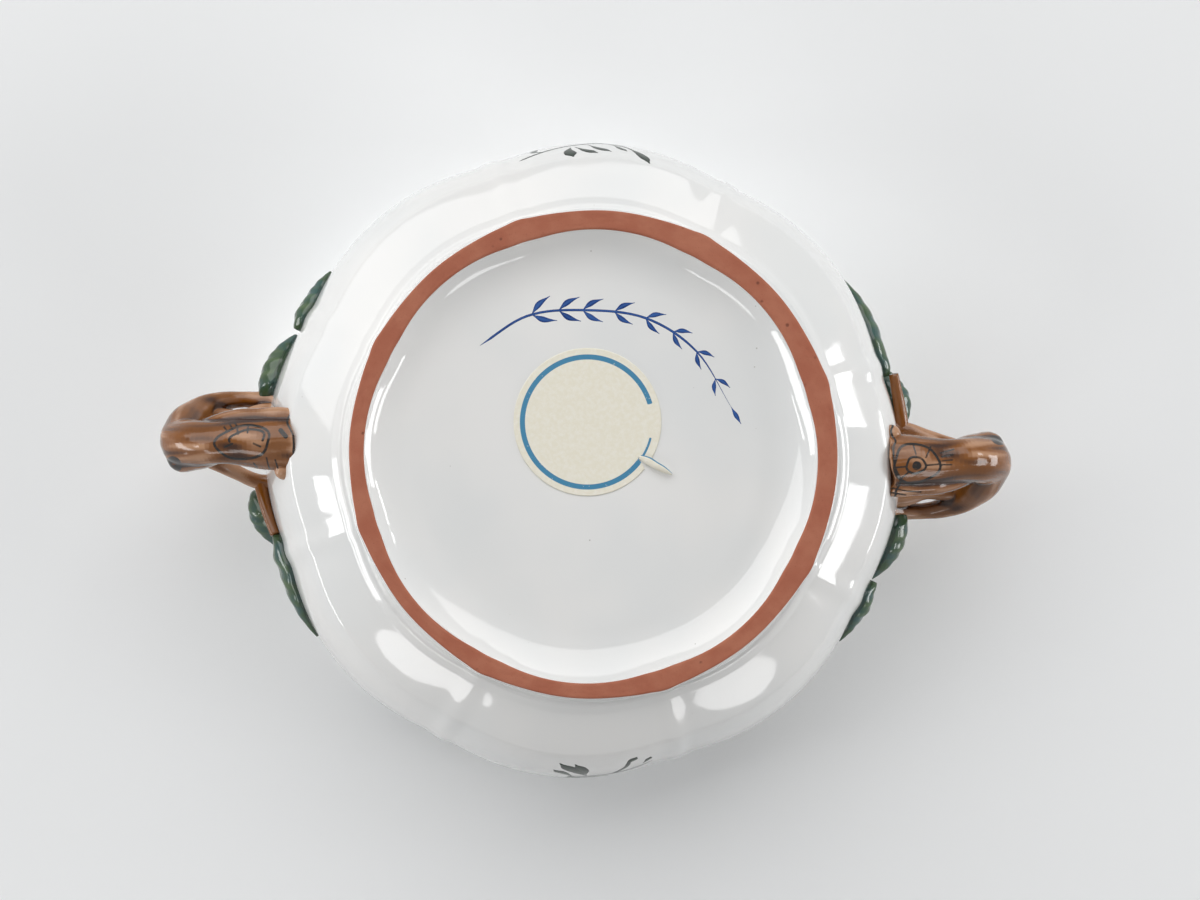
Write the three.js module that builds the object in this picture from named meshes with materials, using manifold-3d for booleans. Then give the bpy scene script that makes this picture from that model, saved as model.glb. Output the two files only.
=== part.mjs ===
// A lobed earthenware bowl on a bare foot ring, with two branch handles, leaf sprays and a domed lid.
// Millimetres, +Z up. The origin is on the table, under the middle of the foot ring.
import * as THREE from "three";
import { mergeVertices } from "three/addons/utils/BufferGeometryUtils.js";
import Module from "manifold-3d";

const wasm = await Module();
wasm.setup();

const DEGREE = Math.PI / 180;

// Clearance between pieces that are luted, stuck or set on each other, and under a leaf, which bridges facets
const SEAT_GAP = 0.3;
const LEAF_GAP = 0.45;

// Foot ring
const FOOT_RADIUS = 60.75;
const FOOT_BAND = 4.4;
const FOOT_HEIGHT = 5;
const FOOT_SPREAD_OUT = 1.2;
const FOOT_SPREAD_IN = 5.4;
const FOOT_EDGE = 0.7;

// Bowl
const BOWL_HEIGHT = 70;
const RIM_RADIUS = 90;
const RIM_WIDTH = 5;
const RIM_ROUND = 1.6;
const RIM_FLARE_ANGLE = 3 * DEGREE;
const FLANK_ANGLE = 24 * DEGREE;
const FLANK_END_ANGLE = 31 * DEGREE;
const BELLY_RADIUS = 76.5;
const BELLY_HEIGHT = 12.5;
const BELLY_ANGLE = 56 * DEGREE;
const WALL = 4.5;
const BASE_RECESS = 6;
const BASE_FLAT_RADIUS = 44;
const FLOOR_THICKNESS = 4.5;
const FLOOR_RADIUS = 58;

// Wide lobes with a narrow rib in each valley between them; they fade out towards the axis
const LOBE_COUNT = 8;
const LOBE_TURN = 5 * DEGREE;
const LOBE_SWELL = 2.2;
const LOBE_FADE_START = 38;
const LOBE_FADE_END = 84;
const RIB_HEIGHT = 0.9;
const RIB_HALF_WIDTH = 2.6;

// Paper label on the base
const LABEL_RADIUS = 18.75;
const LABEL_THICKNESS = 0.2;
const LABEL_CENTRE = new THREE.Vector2(-0.7, -8.6);

// Lid
const LID_SETBACK = 1.2;
const LID_EDGE = 3.6;
const LID_EDGE_ROUND = 1.2;
const LID_RISE = 31;
const LID_THICKNESS = 4.5;
const LID_SHOULDER_RADIUS = 68;
const LID_SHOULDER_RISE = 13;
const FLANGE_DEPTH = 6;
const FLANGE_THICKNESS = 3.5;
const FLANGE_CLEARANCE = 1.6;

// Handles: joints lie out from, beside and up from the wall at the drop of the handle's roots below the rim
const HANDLE_DROP = 24;
const MAIN_LIMB = [
  { at: [-2.4, 15, 0], girth: 3.6 },
  { at: [2.5, 15.4, 0.6], girth: 2.6 },
  { at: [7.5, 15.2, 0.4], girth: 2.3 },
  { at: [12.5, 13.4, -1.5], girth: 3 },
  { at: [17.4, 10, -5], girth: 4.4 },
  { at: [20.1, 5.8, -10.5], girth: 5.6 },
  { at: [20.2, 2.6, -17], girth: 6.2 },
  { at: [15.6, 2.2, -23.6], girth: 6.2 },
  { at: [7.5, 2.5, -27], girth: 5.9 },
  { at: [-2, 2.7, -27.6], girth: 7 },
  { at: [-11, 2.9, -27.6], girth: 7.8 },
];
const INNER_TWIG = [
  { at: [-2.2, -7.6, 0], girth: 2.6 },
  { at: [2.5, -7.2, -1], girth: 2.1 },
  { at: [7.5, -5.2, -3.5], girth: 2 },
  { at: [13, -2, -7.5], girth: 2.6 },
  { at: [18, 1.4, -12.5], girth: 3.6 },
];
const BARK_TWIG = [
  { at: [-11, 9.1, -30], girth: 2.5 },
  { at: [-4, 9.1, -29], girth: 2.6 },
  { at: [4, 8.6, -27.5], girth: 2.5 },
  { at: [11, 7.2, -24], girth: 2.6 },
  { at: [16.4, 5, -18.5], girth: 2.6 },
];
const BRIDGE_TWIG = [
  { at: [-2, 12, -3.4], girth: 1.2 },
  { at: [2.5, 12, -4], girth: 1.1 },
  { at: [7, 12, -5.5], girth: 1.3 },
  { at: [13.5, 11, -7], girth: 2.2 },
];
const KNOTS = [
  { at: [20, -0.9, -17], radius: 4.6 },
  { at: [-8.5, -4.8, -29], radius: 2.4 },
];

// The two sides were set by hand, each a little round from the diameter through the handles
const SIDES = [
  { name: "right", turn: 0, lean: -1 * DEGREE },
  { name: "left", turn: Math.PI, lean: 1 * DEGREE },
];

// Leaf sprays beside a handle: degrees from the handle's middle and drops below the rim
const STEM_START = [-5, 25];
const STEM_LIFTS = [1.8, 1.2];
const STEM_GIRTHS = [1.9, 1.2];
const STEM_STOP = 1;
const WALL_LEAVES = [
  { from: [-6, 20], to: [-17, 17], halfWidth: 6.2, relief: 5.4 },
  { from: [-14.5, 29], to: [-34.5, 23], halfWidth: 6.2, relief: 4 },
  { from: [10, 25], to: [23, 21], halfWidth: 6, relief: 5 },
  { from: [23.6, 30], to: [36, 26], halfWidth: 5, relief: 3 },
];

// Form of a leaf, as shares: how full it is at its ends, where it is widest and how its crown falls off
const LEAF_END_FULLNESS = 0.1;
const LEAF_LEAN = 0.7;
const LEAF_EDGE_RELIEF = 0.3;
const LEAF_END_RELIEF = 0.6;

// Knob: heights are measured from the top of the lid's dome
const KNOB_ARCH = [
  { at: [-17, -3, -4], girth: 5.8 },
  { at: [-16, -2.8, 0], girth: 4.9 },
  { at: [-13.5, -2, 5], girth: 4.5 },
  { at: [-7.5, 0, 14.5], girth: 4.4 },
  { at: [1, 1, 18], girth: 4.8 },
  { at: [9.5, 1, 14.5], girth: 4.9 },
  { at: [14, 1, 5.5], girth: 4.8 },
  { at: [16.5, 1.7, 0], girth: 5.1 },
  { at: [17.5, 2, -4], girth: 6 },
];
const KNOB_STUB = [
  { at: [1, 1, 17], girth: 4.2 },
  { at: [6, -3, 20.5], girth: 3.6 },
  { at: [10.5, -6.5, 23], girth: 3.9 },
];
const KNOB_LEAVES = [
  { from: [24, 6], to: [46, 25] },
  { from: [-23, 7], to: [-44, 26] },
  { from: [-24, -9], to: [-46, -27] },
  { from: [23, -7], to: [45, -26] },
];
const KNOB_LEAF_HALF_WIDTH = 6.5;
const KNOB_LEAF_RELIEF = 2.6;

// Shares of a run over which its curve keeps the slope of its start and of its end
const FLANK_PULLS = [0.35, 0.35];
const WALL_PULLS = [0.2, 0.5];
const FLOOR_PULLS = [0.3, 0.4];

// Shares of a run at which its curve bends: along it and up it
const BASE_BEND = 0.6;
const FOOT_BEND = [0.55, 0.66];
const SKIRT_BENDS = [0.4, 0.7];
const SKIRT_LIFT = 0.55;
const CROWN_BENDS = [0.82, 0.45];
const CROWN_LIFT = 0.72;

// Facets
const LOBE_SEGMENTS = 10;
const RIB_CROWDING = 0.6;
const CURVE_STEPS = 4;
const ROUND_STEPS = 2;
const LIMB_SIDES = 8;
const TWIG_SIDES = 6;
const LIMB_STEPS = 3;
const KNOT_RINGS = 6;
const LABEL_SIDES = 48;
const LEAF_ROWS = 6;
const LEAF_COLUMNS = 4;

// Finishes
const GLAZE = new THREE.MeshStandardMaterial({ color: 0xeceae6, roughness: 0.12, metalness: 0 });
const CLAY = new THREE.MeshStandardMaterial({ color: 0xa45c48, roughness: 0.85, metalness: 0 });
const BARK = new THREE.MeshStandardMaterial({ color: 0x8a5536, roughness: 0.25, metalness: 0 });
const LEAF = new THREE.MeshStandardMaterial({ color: 0x3c5540, roughness: 0.2, metalness: 0 });
const PAPER = new THREE.MeshStandardMaterial({ color: 0xe9e2cf, roughness: 0.9, metalness: 0 });

const { lerp, smoothstep } = THREE.MathUtils;

// Shared vertices merged and empty faces dropped, ready to be joined or cut
function weld(geometry) {
  geometry.deleteAttribute("normal");
  geometry.deleteAttribute("uv");
  const welded = mergeVertices(geometry, 1e-4);
  const old = welded.index.array;
  const kept = [];
  for (let i = 0; i < old.length; i += 3) {
    const [a, b, c] = old.slice(i, i + 3);
    if (a !== b && b !== c && c !== a) {
      kept.push(a, b, c);
    }
  }
  welded.setIndex(kept);
  return welded;
}

function toSolid(geometry) {
  const welded = weld(geometry);
  const vertProperties = new Float32Array(welded.attributes.position.array);
  const triVerts = new Uint32Array(welded.index.array);
  return new wasm.Manifold(new wasm.Mesh({ numProp: 3, vertProperties, triVerts }));
}

function toGeometry(solid) {
  const mesh = solid.getMesh();
  const geometry = new THREE.BufferGeometry();
  geometry.setAttribute("position", new THREE.BufferAttribute(new Float32Array(mesh.vertProperties), 3));
  geometry.setIndex(Array.from(mesh.triVerts));
  return geometry;
}

// Radius of a round profile once the lobes have swelled it and the ribs stand in the valleys
function lobedRadius(radius, angle) {
  const pitch = (2 * Math.PI) / LOBE_COUNT;
  const turns = (angle - LOBE_TURN) / pitch;
  const offMiddle = Math.abs(turns - Math.round(turns));
  const swell = LOBE_SWELL * (Math.cos(Math.PI * offMiddle) - 2 / Math.PI);
  const fromRib = (0.5 - offMiddle) * pitch * radius;
  const rib = RIB_HEIGHT * Math.exp(-((fromRib / RIB_HALF_WIDTH) ** 2));
  return radius + smoothstep(radius, LOBE_FADE_START, LOBE_FADE_END) * (swell + rib);
}

// An angle moved towards the nearest rib, so that the facets lie closest where the form turns most
function crowded(angle) {
  const pitch = (2 * Math.PI) / LOBE_COUNT;
  const turns = (angle - LOBE_TURN) / pitch;
  const offMiddle = turns - Math.round(turns);
  return angle + (pitch * RIB_CROWDING * Math.sin(2 * Math.PI * offMiddle)) / (2 * Math.PI);
}

// A profile of radius and height turned about the axis and lobed
function revolve(profile) {
  const segments = LOBE_COUNT * LOBE_SEGMENTS;
  const geometry = new THREE.LatheGeometry(profile, segments, LOBE_TURN + Math.PI / 2);
  geometry.rotateX(Math.PI / 2);
  const position = geometry.attributes.position;
  for (let i = 0; i < position.count; i++) {
    const x = position.getX(i);
    const y = position.getY(i);
    const angle = crowded(Math.atan2(y, x));
    const radius = lobedRadius(Math.hypot(x, y), angle);
    position.setXY(i, radius * Math.cos(angle), radius * Math.sin(angle));
  }
  return weld(geometry);
}

// The value of a profile, given as points of radius and height, where one coordinate has a known value
function interpolate(points, known, wanted, value) {
  for (let i = 1; i < points.length; i++) {
    const low = points[i - 1];
    const high = points[i];
    if ((low[known] - value) * (high[known] - value) <= 0 && low[known] !== high[known]) {
      return lerp(low[wanted], high[wanted], (value - low[known]) / (high[known] - low[known]));
    }
  }
  throw new Error(`the profile does not reach ${value}`);
}

// Bowl profiles
const footTopRadius = FOOT_RADIUS + FOOT_SPREAD_OUT;
const footInnerRadius = FOOT_RADIUS - FOOT_BAND;
const footInnerTop = footInnerRadius - FOOT_SPREAD_IN;
const mouthRadius = RIM_RADIUS - RIM_WIDTH;
const floorHeight = BASE_RECESS + FLOOR_THICKNESS;
const rimSlope = Math.PI / 2 - RIM_FLARE_ANGLE;

// A curve from one point to another that leaves and arrives at given slopes over the horizontal; the pulls
// are the shares of the distance between the points over which each end keeps its slope
function addSlopedCurve(path, end, startSlope, endSlope, pulls) {
  const start = path.currentPoint.clone();
  const leave = pulls[0] * start.distanceTo(end);
  const arrive = pulls[1] * start.distanceTo(end);
  path.bezierCurveTo(
    start.x + leave * Math.cos(startSlope), start.y + leave * Math.sin(startSlope),
    end.x - arrive * Math.cos(endSlope), end.y - arrive * Math.sin(endSlope),
    end.x, end.y,
  );
}

// The outside of the bowl from the top of the foot, over the turn of the belly, to the lip
function outerWall() {
  const path = new THREE.Path();
  path.moveTo(footTopRadius, FOOT_HEIGHT);
  const belly = new THREE.Vector2(BELLY_RADIUS, BELLY_HEIGHT);
  const lip = new THREE.Vector2(RIM_RADIUS, BOWL_HEIGHT - RIM_ROUND);
  addSlopedCurve(path, belly, FLANK_ANGLE, FLANK_END_ANGLE, FLANK_PULLS);
  addSlopedCurve(path, lip, BELLY_ANGLE, rimSlope, WALL_PULLS);
  return path.getPoints(CURVE_STEPS);
}

// The inside of the bowl from the mouth down to the edge of the flat floor
function innerWall() {
  const path = new THREE.Path();
  path.moveTo(mouthRadius, BOWL_HEIGHT - RIM_ROUND);
  const belly = new THREE.Vector2(
    BELLY_RADIUS - WALL * Math.sin(BELLY_ANGLE),
    BELLY_HEIGHT + WALL * Math.cos(BELLY_ANGLE),
  );
  const floor = new THREE.Vector2(FLOOR_RADIUS, floorHeight);
  addSlopedCurve(path, belly, rimSlope + Math.PI, BELLY_ANGLE + Math.PI, WALL_PULLS.toReversed());
  addSlopedCurve(path, floor, BELLY_ANGLE + Math.PI, Math.PI, FLOOR_PULLS);
  return path.getPoints(CURVE_STEPS);
}

const outerWallPoints = outerWall();
const innerWallPoints = innerWall();

function wallRadius(height) {
  return interpolate(outerWallPoints, "y", "x", height);
}

function wallPoint(angle, height, lift) {
  const radius = lobedRadius(wallRadius(height), angle) + lift;
  return new THREE.Vector3(radius * Math.cos(angle), radius * Math.sin(angle), height);
}

function bowlBody() {
  const under = new THREE.Path();
  under.moveTo(0, BASE_RECESS);
  under.lineTo(BASE_FLAT_RADIUS, BASE_RECESS);
  const bend = lerp(BASE_FLAT_RADIUS, footInnerTop, BASE_BEND);
  under.quadraticCurveTo(bend, BASE_RECESS, footInnerTop, FOOT_HEIGHT);
  under.lineTo(footTopRadius, FOOT_HEIGHT);
  const lip = new THREE.Path();
  lip.moveTo(RIM_RADIUS, BOWL_HEIGHT - RIM_ROUND);
  lip.quadraticCurveTo(RIM_RADIUS, BOWL_HEIGHT, RIM_RADIUS - RIM_ROUND, BOWL_HEIGHT);
  lip.lineTo(mouthRadius + RIM_ROUND / 2, BOWL_HEIGHT);
  lip.lineTo(mouthRadius, BOWL_HEIGHT - RIM_ROUND);
  const profile = [
    ...under.getPoints(ROUND_STEPS),
    ...outerWallPoints.slice(1),
    ...lip.getPoints(ROUND_STEPS).slice(1),
    ...innerWallPoints.slice(1),
    new THREE.Vector2(0, floorHeight),
  ];
  return revolve(profile);
}

function footRing() {
  const section = new THREE.Path();
  section.moveTo(footInnerRadius + FOOT_EDGE, 0);
  section.lineTo(FOOT_RADIUS - FOOT_EDGE, 0);
  section.quadraticCurveTo(FOOT_RADIUS, 0, FOOT_RADIUS, FOOT_EDGE);
  section.lineTo(footTopRadius, FOOT_HEIGHT);
  section.lineTo(footInnerTop, FOOT_HEIGHT);
  const bend = lerp(footInnerTop, footInnerRadius, FOOT_BEND[0]);
  section.quadraticCurveTo(bend, FOOT_BEND[1] * FOOT_HEIGHT, footInnerRadius, FOOT_EDGE);
  section.lineTo(footInnerRadius + FOOT_EDGE, 0);
  return revolve(section.getPoints(ROUND_STEPS));
}

function baseLabel() {
  const geometry = new THREE.CylinderGeometry(LABEL_RADIUS, LABEL_RADIUS, LABEL_THICKNESS, LABEL_SIDES);
  geometry.rotateX(Math.PI / 2);
  geometry.translate(LABEL_CENTRE.x, LABEL_CENTRE.y, BASE_RECESS - LABEL_THICKNESS / 2);
  return weld(geometry);
}

// Lid
const lidSeat = BOWL_HEIGHT + SEAT_GAP;
const lidRadius = RIM_RADIUS - LID_SETBACK;
const lidTop = lidSeat + LID_RISE;

function lidDome() {
  const path = new THREE.Path();
  const edgeTop = lidSeat + LID_EDGE;
  const brim = lidRadius - LID_EDGE_ROUND;
  const shoulder = lidSeat + LID_SHOULDER_RISE;
  path.moveTo(brim, edgeTop);
  path.bezierCurveTo(
    lerp(brim, LID_SHOULDER_RADIUS, SKIRT_BENDS[0]), edgeTop,
    lerp(brim, LID_SHOULDER_RADIUS, SKIRT_BENDS[1]), lerp(edgeTop, shoulder, SKIRT_LIFT),
    LID_SHOULDER_RADIUS, shoulder,
  );
  path.bezierCurveTo(
    CROWN_BENDS[0] * LID_SHOULDER_RADIUS, lerp(shoulder, lidTop, CROWN_LIFT),
    CROWN_BENDS[1] * LID_SHOULDER_RADIUS, lidTop,
    0, lidTop,
  );
  return path.getPoints(CURVE_STEPS);
}

const lidDomePoints = lidDome();

function lidHeight(x, y) {
  const plan = Math.hypot(x, y);
  const radius = 2 * plan - lobedRadius(plan, Math.atan2(y, x));
  return interpolate(lidDomePoints, "x", "y", radius);
}

function lidShell() {
  const flangeBottom = lidSeat - FLANGE_DEPTH;
  const flangeRadius = interpolate(innerWallPoints, "y", "x", flangeBottom) - FLANGE_CLEARANCE;
  const flangeInside = flangeRadius - FLANGE_THICKNESS;
  const shoulderInside = LID_SHOULDER_RADIUS - LID_THICKNESS / 2;
  const shoulder = lidSeat + LID_SHOULDER_RISE - LID_THICKNESS;
  const ceiling = lidTop - LID_THICKNESS;
  const under = new THREE.Path();
  under.moveTo(0, ceiling);
  under.bezierCurveTo(
    CROWN_BENDS[1] * shoulderInside, ceiling,
    CROWN_BENDS[0] * shoulderInside, lerp(shoulder, ceiling, CROWN_LIFT),
    shoulderInside, shoulder,
  );
  under.quadraticCurveTo(lerp(shoulderInside, flangeInside, BASE_BEND), lidSeat, flangeInside, lidSeat);
  under.lineTo(flangeInside, flangeBottom);
  under.lineTo(flangeRadius, flangeBottom);
  under.lineTo(flangeRadius, lidSeat);
  const edge = new THREE.Path();
  edge.moveTo(flangeRadius, lidSeat);
  edge.lineTo(lidRadius - LID_EDGE_ROUND, lidSeat);
  edge.quadraticCurveTo(lidRadius, lidSeat, lidRadius, lidSeat + LID_EDGE_ROUND);
  edge.lineTo(lidRadius, lidSeat + LID_EDGE - LID_EDGE_ROUND);
  const brim = lidRadius - LID_EDGE_ROUND;
  edge.quadraticCurveTo(lidRadius, lidSeat + LID_EDGE, brim, lidSeat + LID_EDGE);
  const inside = under.getPoints(CURVE_STEPS);
  return revolve([...inside, ...edge.getPoints(ROUND_STEPS).slice(1), ...lidDomePoints.slice(1)]);
}

// A ring of few sides is drawn a little large, so that it encloses as much as a round one
function cornerRadius(radius, sides) {
  const corner = (2 * Math.PI) / sides;
  return radius * Math.sqrt(corner / Math.sin(corner));
}

// A tapering limb with closed ends; each joint gives a point of its middle line and the girth there
function limb(joints, sides = LIMB_SIDES) {
  const middles = joints.map((joint) => new THREE.Vector3(...joint.at));
  const curve = new THREE.CatmullRomCurve3(middles, false, "catmullrom");
  const spans = joints.length - 1;
  const rings = spans * LIMB_STEPS;
  const across = new THREE.Vector3(0, 0, 1);
  const points = [];
  for (let ring = 0; ring <= rings; ring++) {
    const along = ring / rings;
    const tangent = curve.getTangent(along);
    const span = Math.min(Math.floor(along * spans), spans - 1);
    const girth = lerp(joints[span].girth, joints[span + 1].girth, along * spans - span);
    const radius = cornerRadius(girth, sides);
    across.addScaledVector(tangent, -across.dot(tangent)).normalize();
    const third = new THREE.Vector3().crossVectors(tangent, across);
    for (let side = 0; side < sides; side++) {
      const angle = (2 * Math.PI * side) / sides;
      points.push(
        curve.getPoint(along)
          .addScaledVector(across, radius * Math.cos(angle))
          .addScaledVector(third, radius * Math.sin(angle)),
      );
    }
  }
  points.push(curve.getPoint(0), curve.getPoint(1));
  const first = points.length - 2;
  const last = points.length - 1;
  const faces = [];
  for (let side = 0; side < sides; side++) {
    const next = (side + 1) % sides;
    for (let ring = 0; ring < rings; ring++) {
      const low = ring * sides;
      const high = low + sides;
      faces.push(low + side, low + next, high + next, low + side, high + next, high + side);
    }
    faces.push(first, next, side);
    faces.push(last, rings * sides + side, rings * sides + next);
  }
  return new THREE.BufferGeometry().setFromPoints(points).setIndex(faces);
}

// A profile moved out by a seat's gap, square to itself
function grownProfile(points) {
  return points.map((point, i) => {
    const before = points[Math.max(i - 1, 0)];
    const after = points[Math.min(i + 1, points.length - 1)];
    const along = after.clone().sub(before).normalize();
    return new THREE.Vector2(point.x + SEAT_GAP * along.y, point.y - SEAT_GAP * along.x);
  });
}

// The bowl's outside filled in and the lid's dome filled in, both a seat's gap larger
function wallEnvelope() {
  const grown = grownProfile(outerWallPoints);
  const bottom = new THREE.Vector2(0, grown[0].y);
  const top = new THREE.Vector2(0, grown.at(-1).y);
  return toSolid(revolve([bottom, ...grown, top]));
}

function domeEnvelope() {
  const grown = lidDomePoints.map((point) => new THREE.Vector2(point.x, point.y + SEAT_GAP));
  return toSolid(revolve([new THREE.Vector2(0, lidSeat), new THREE.Vector2(grown[0].x, lidSeat), ...grown]));
}

function knot({ at, radius }, clearance) {
  const ball = new THREE.SphereGeometry(cornerRadius(radius + clearance, LIMB_SIDES), LIMB_SIDES, KNOT_RINGS);
  ball.translate(...at);
  return toSolid(ball);
}

// The branch in its place at the wall; a clearance makes it the space that its neighbours are cut away from
function branch(lean, clearance) {
  const limbs = [
    { joints: MAIN_LIMB, sides: LIMB_SIDES },
    { joints: INNER_TWIG, sides: LIMB_SIDES },
    { joints: BARK_TWIG, sides: TWIG_SIDES },
    { joints: BRIDGE_TWIG, sides: TWIG_SIDES },
  ];
  const solids = limbs.map(({ joints, sides }) => {
    const grown = joints.map(({ at, girth }) => ({ at, girth: girth + clearance }));
    return toSolid(limb(grown, sides));
  });
  solids.push(...KNOTS.map((place) => knot(place, clearance)));
  const joined = solids.reduce((whole, solid) => whole.add(solid));
  const rootHeight = BOWL_HEIGHT - HANDLE_DROP;
  return joined.translate([wallRadius(rootHeight), 0, rootHeight]).rotate([0, 0, lean / DEGREE]);
}

const wallSpace = wallEnvelope();

function handleBranch(lean) {
  return toGeometry(branch(lean, 0).subtract(wallSpace));
}

// A moulded leaf on a surface, which gives the point at a share of the leaf's run, a distance to one side
// of its middle line and a height over the surface
function leaf(surface, halfWidth, relief) {
  const points = [];
  for (const face of [0, 1]) {
    for (let row = 0; row <= LEAF_ROWS; row++) {
      const along = row / LEAF_ROWS;
      const fullness = lerp(LEAF_END_FULLNESS, 1, Math.sin(Math.PI * along ** LEAF_LEAN));
      for (let column = 0; column <= LEAF_COLUMNS; column++) {
        const across = (2 * column) / LEAF_COLUMNS - 1;
        const crown = lerp(LEAF_END_RELIEF, 1, fullness) * lerp(1, LEAF_EDGE_RELIEF, across ** 4);
        const lift = LEAF_GAP + face * crown * (relief - LEAF_GAP);
        points.push(surface(along, across * halfWidth * fullness, lift));
      }
    }
  }
  return new THREE.BufferGeometry().setFromPoints(points).setIndex(leafFaces());
}

function leafFaces() {
  const wide = LEAF_COLUMNS + 1;
  const sheet = (LEAF_ROWS + 1) * wide;
  const faces = [];
  for (let row = 0; row < LEAF_ROWS; row++) {
    for (let column = 0; column < LEAF_COLUMNS; column++) {
      const a = row * wide + column;
      const [b, c, d] = [a + wide, a + wide + 1, a + 1];
      faces.push(a, d, c, a, c, b);
      faces.push(a + sheet, b + sheet, c + sheet, a + sheet, c + sheet, d + sheet);
    }
  }
  for (const [a, b] of leafBorder(wide)) {
    faces.push(a, b, b + sheet, a, b + sheet, a + sheet);
  }
  return faces;
}

// Border edges of a leaf's sheet, in the order that turns its rim outwards
function leafBorder(wide) {
  const edges = [];
  const lastRow = LEAF_ROWS * wide;
  for (let row = 0; row < LEAF_ROWS; row++) {
    edges.push([row * wide, (row + 1) * wide]);
    edges.push([(row + 1) * wide + LEAF_COLUMNS, row * wide + LEAF_COLUMNS]);
  }
  for (let column = 0; column < LEAF_COLUMNS; column++) {
    edges.push([column + 1, column]);
    edges.push([lastRow + column, lastRow + column + 1]);
  }
  return edges;
}

// A place on the wall as an angle and a height, from degrees and a drop below the rim
function wallPlace([degrees, drop], lean) {
  return new THREE.Vector2(degrees * DEGREE + lean, BOWL_HEIGHT - drop);
}

// A straight run on the bowl's wall between two places
function alongWall(start, end) {
  const radius = wallRadius((start.y + end.y) / 2);
  const run = new THREE.Vector2((end.x - start.x) * radius, end.y - start.y).normalize();
  return (along, sideways, lift) => {
    const angle = lerp(start.x, end.x, along) - (sideways * run.y) / radius;
    return wallPoint(angle, lerp(start.y, end.y, along) + sideways * run.x, lift);
  };
}

// A straight run over the lid's dome between two places in plan
function alongDome(from, to) {
  const start = new THREE.Vector2(...from);
  const end = new THREE.Vector2(...to);
  const run = end.clone().sub(start).normalize();
  return (along, sideways, lift) => {
    const x = lerp(start.x, end.x, along) - sideways * run.y;
    const y = lerp(start.y, end.y, along) + sideways * run.x;
    return new THREE.Vector3(x, y, lidHeight(x, y) + lift);
  };
}

// Leaves and stems give way to the branch where they start behind it
function wallLeaf({ from, to, halfWidth, relief }, lean) {
  const surface = alongWall(wallPlace(from, lean), wallPlace(to, lean));
  const whole = toSolid(leaf(surface, halfWidth, relief));
  return toGeometry(whole.subtract(branch(lean, SEAT_GAP)));
}

// The stem runs along the wall from the handle's twig to the foot of the far leaf on its side
function leafStem(lean) {
  const start = wallPlace(STEM_START, lean);
  const end = wallPlace(WALL_LEAVES[1].from, lean);
  end.x += STEM_STOP / wallRadius(end.y);
  const joints = [0, 0.5, 1].map((along) => {
    const place = start.clone().lerp(end, along);
    const lift = lerp(...STEM_LIFTS, along);
    return { at: wallPoint(place.x, place.y, lift).toArray(), girth: lerp(...STEM_GIRTHS, along) };
  });
  const stem = toSolid(limb(joints, TWIG_SIDES));
  return toGeometry(stem.subtract(wallSpace).subtract(branch(lean, SEAT_GAP)));
}

function knobBranch() {
  const arch = toSolid(limb(KNOB_ARCH)).add(toSolid(limb(KNOB_STUB)));
  return toGeometry(arch.translate([0, 0, lidTop]).subtract(domeEnvelope()));
}

function knobLeaf({ from, to }) {
  return leaf(alongDome(from, to), KNOB_LEAF_HALF_WIDTH, KNOB_LEAF_RELIEF);
}

function piece(name, geometry, material) {
  geometry.computeVertexNormals();
  const mesh = new THREE.Mesh(geometry, material);
  mesh.name = name;
  return mesh;
}

// Everything on one side of the bowl; the left side is turned half way round
function handleSide({ name, turn, lean }) {
  const group = new THREE.Group();
  group.rotation.z = turn;
  group.add(piece(`handle_branch_${name}`, handleBranch(lean), BARK));
  group.add(piece(`leaf_stem_${name}`, leafStem(lean), BARK));
  WALL_LEAVES.forEach((shape, index) => {
    group.add(piece(`leaf_${name}_${index + 1}`, wallLeaf(shape, lean), LEAF));
  });
  return group;
}

function bowl() {
  const group = new THREE.Group();
  group.add(piece("bowl_body", bowlBody(), GLAZE));
  group.add(piece("foot_ring", footRing(), CLAY));
  group.add(piece("base_label", baseLabel(), PAPER));
  group.add(...SIDES.map(handleSide));
  return group;
}

function lid() {
  const group = new THREE.Group();
  group.add(piece("lid_shell", lidShell(), GLAZE));
  group.add(piece("knob_branch", knobBranch(), BARK));
  KNOB_LEAVES.forEach((shape, index) => {
    group.add(piece(`knob_leaf_${index + 1}`, knobLeaf(shape), LEAF));
  });
  return group;
}

const liddedBowl = new THREE.Group();
liddedBowl.add(bowl(), lid());

export default liddedBowl;
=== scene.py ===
# A lobed earthenware bowl on a bare foot ring, with two branch handles, leaf sprays and a domed lid.
# Sizes are in millimetres; add_piece turns them into the metres of the frame.
import math

import bmesh
import bpy
import numpy as np
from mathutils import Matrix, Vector, noise


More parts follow.
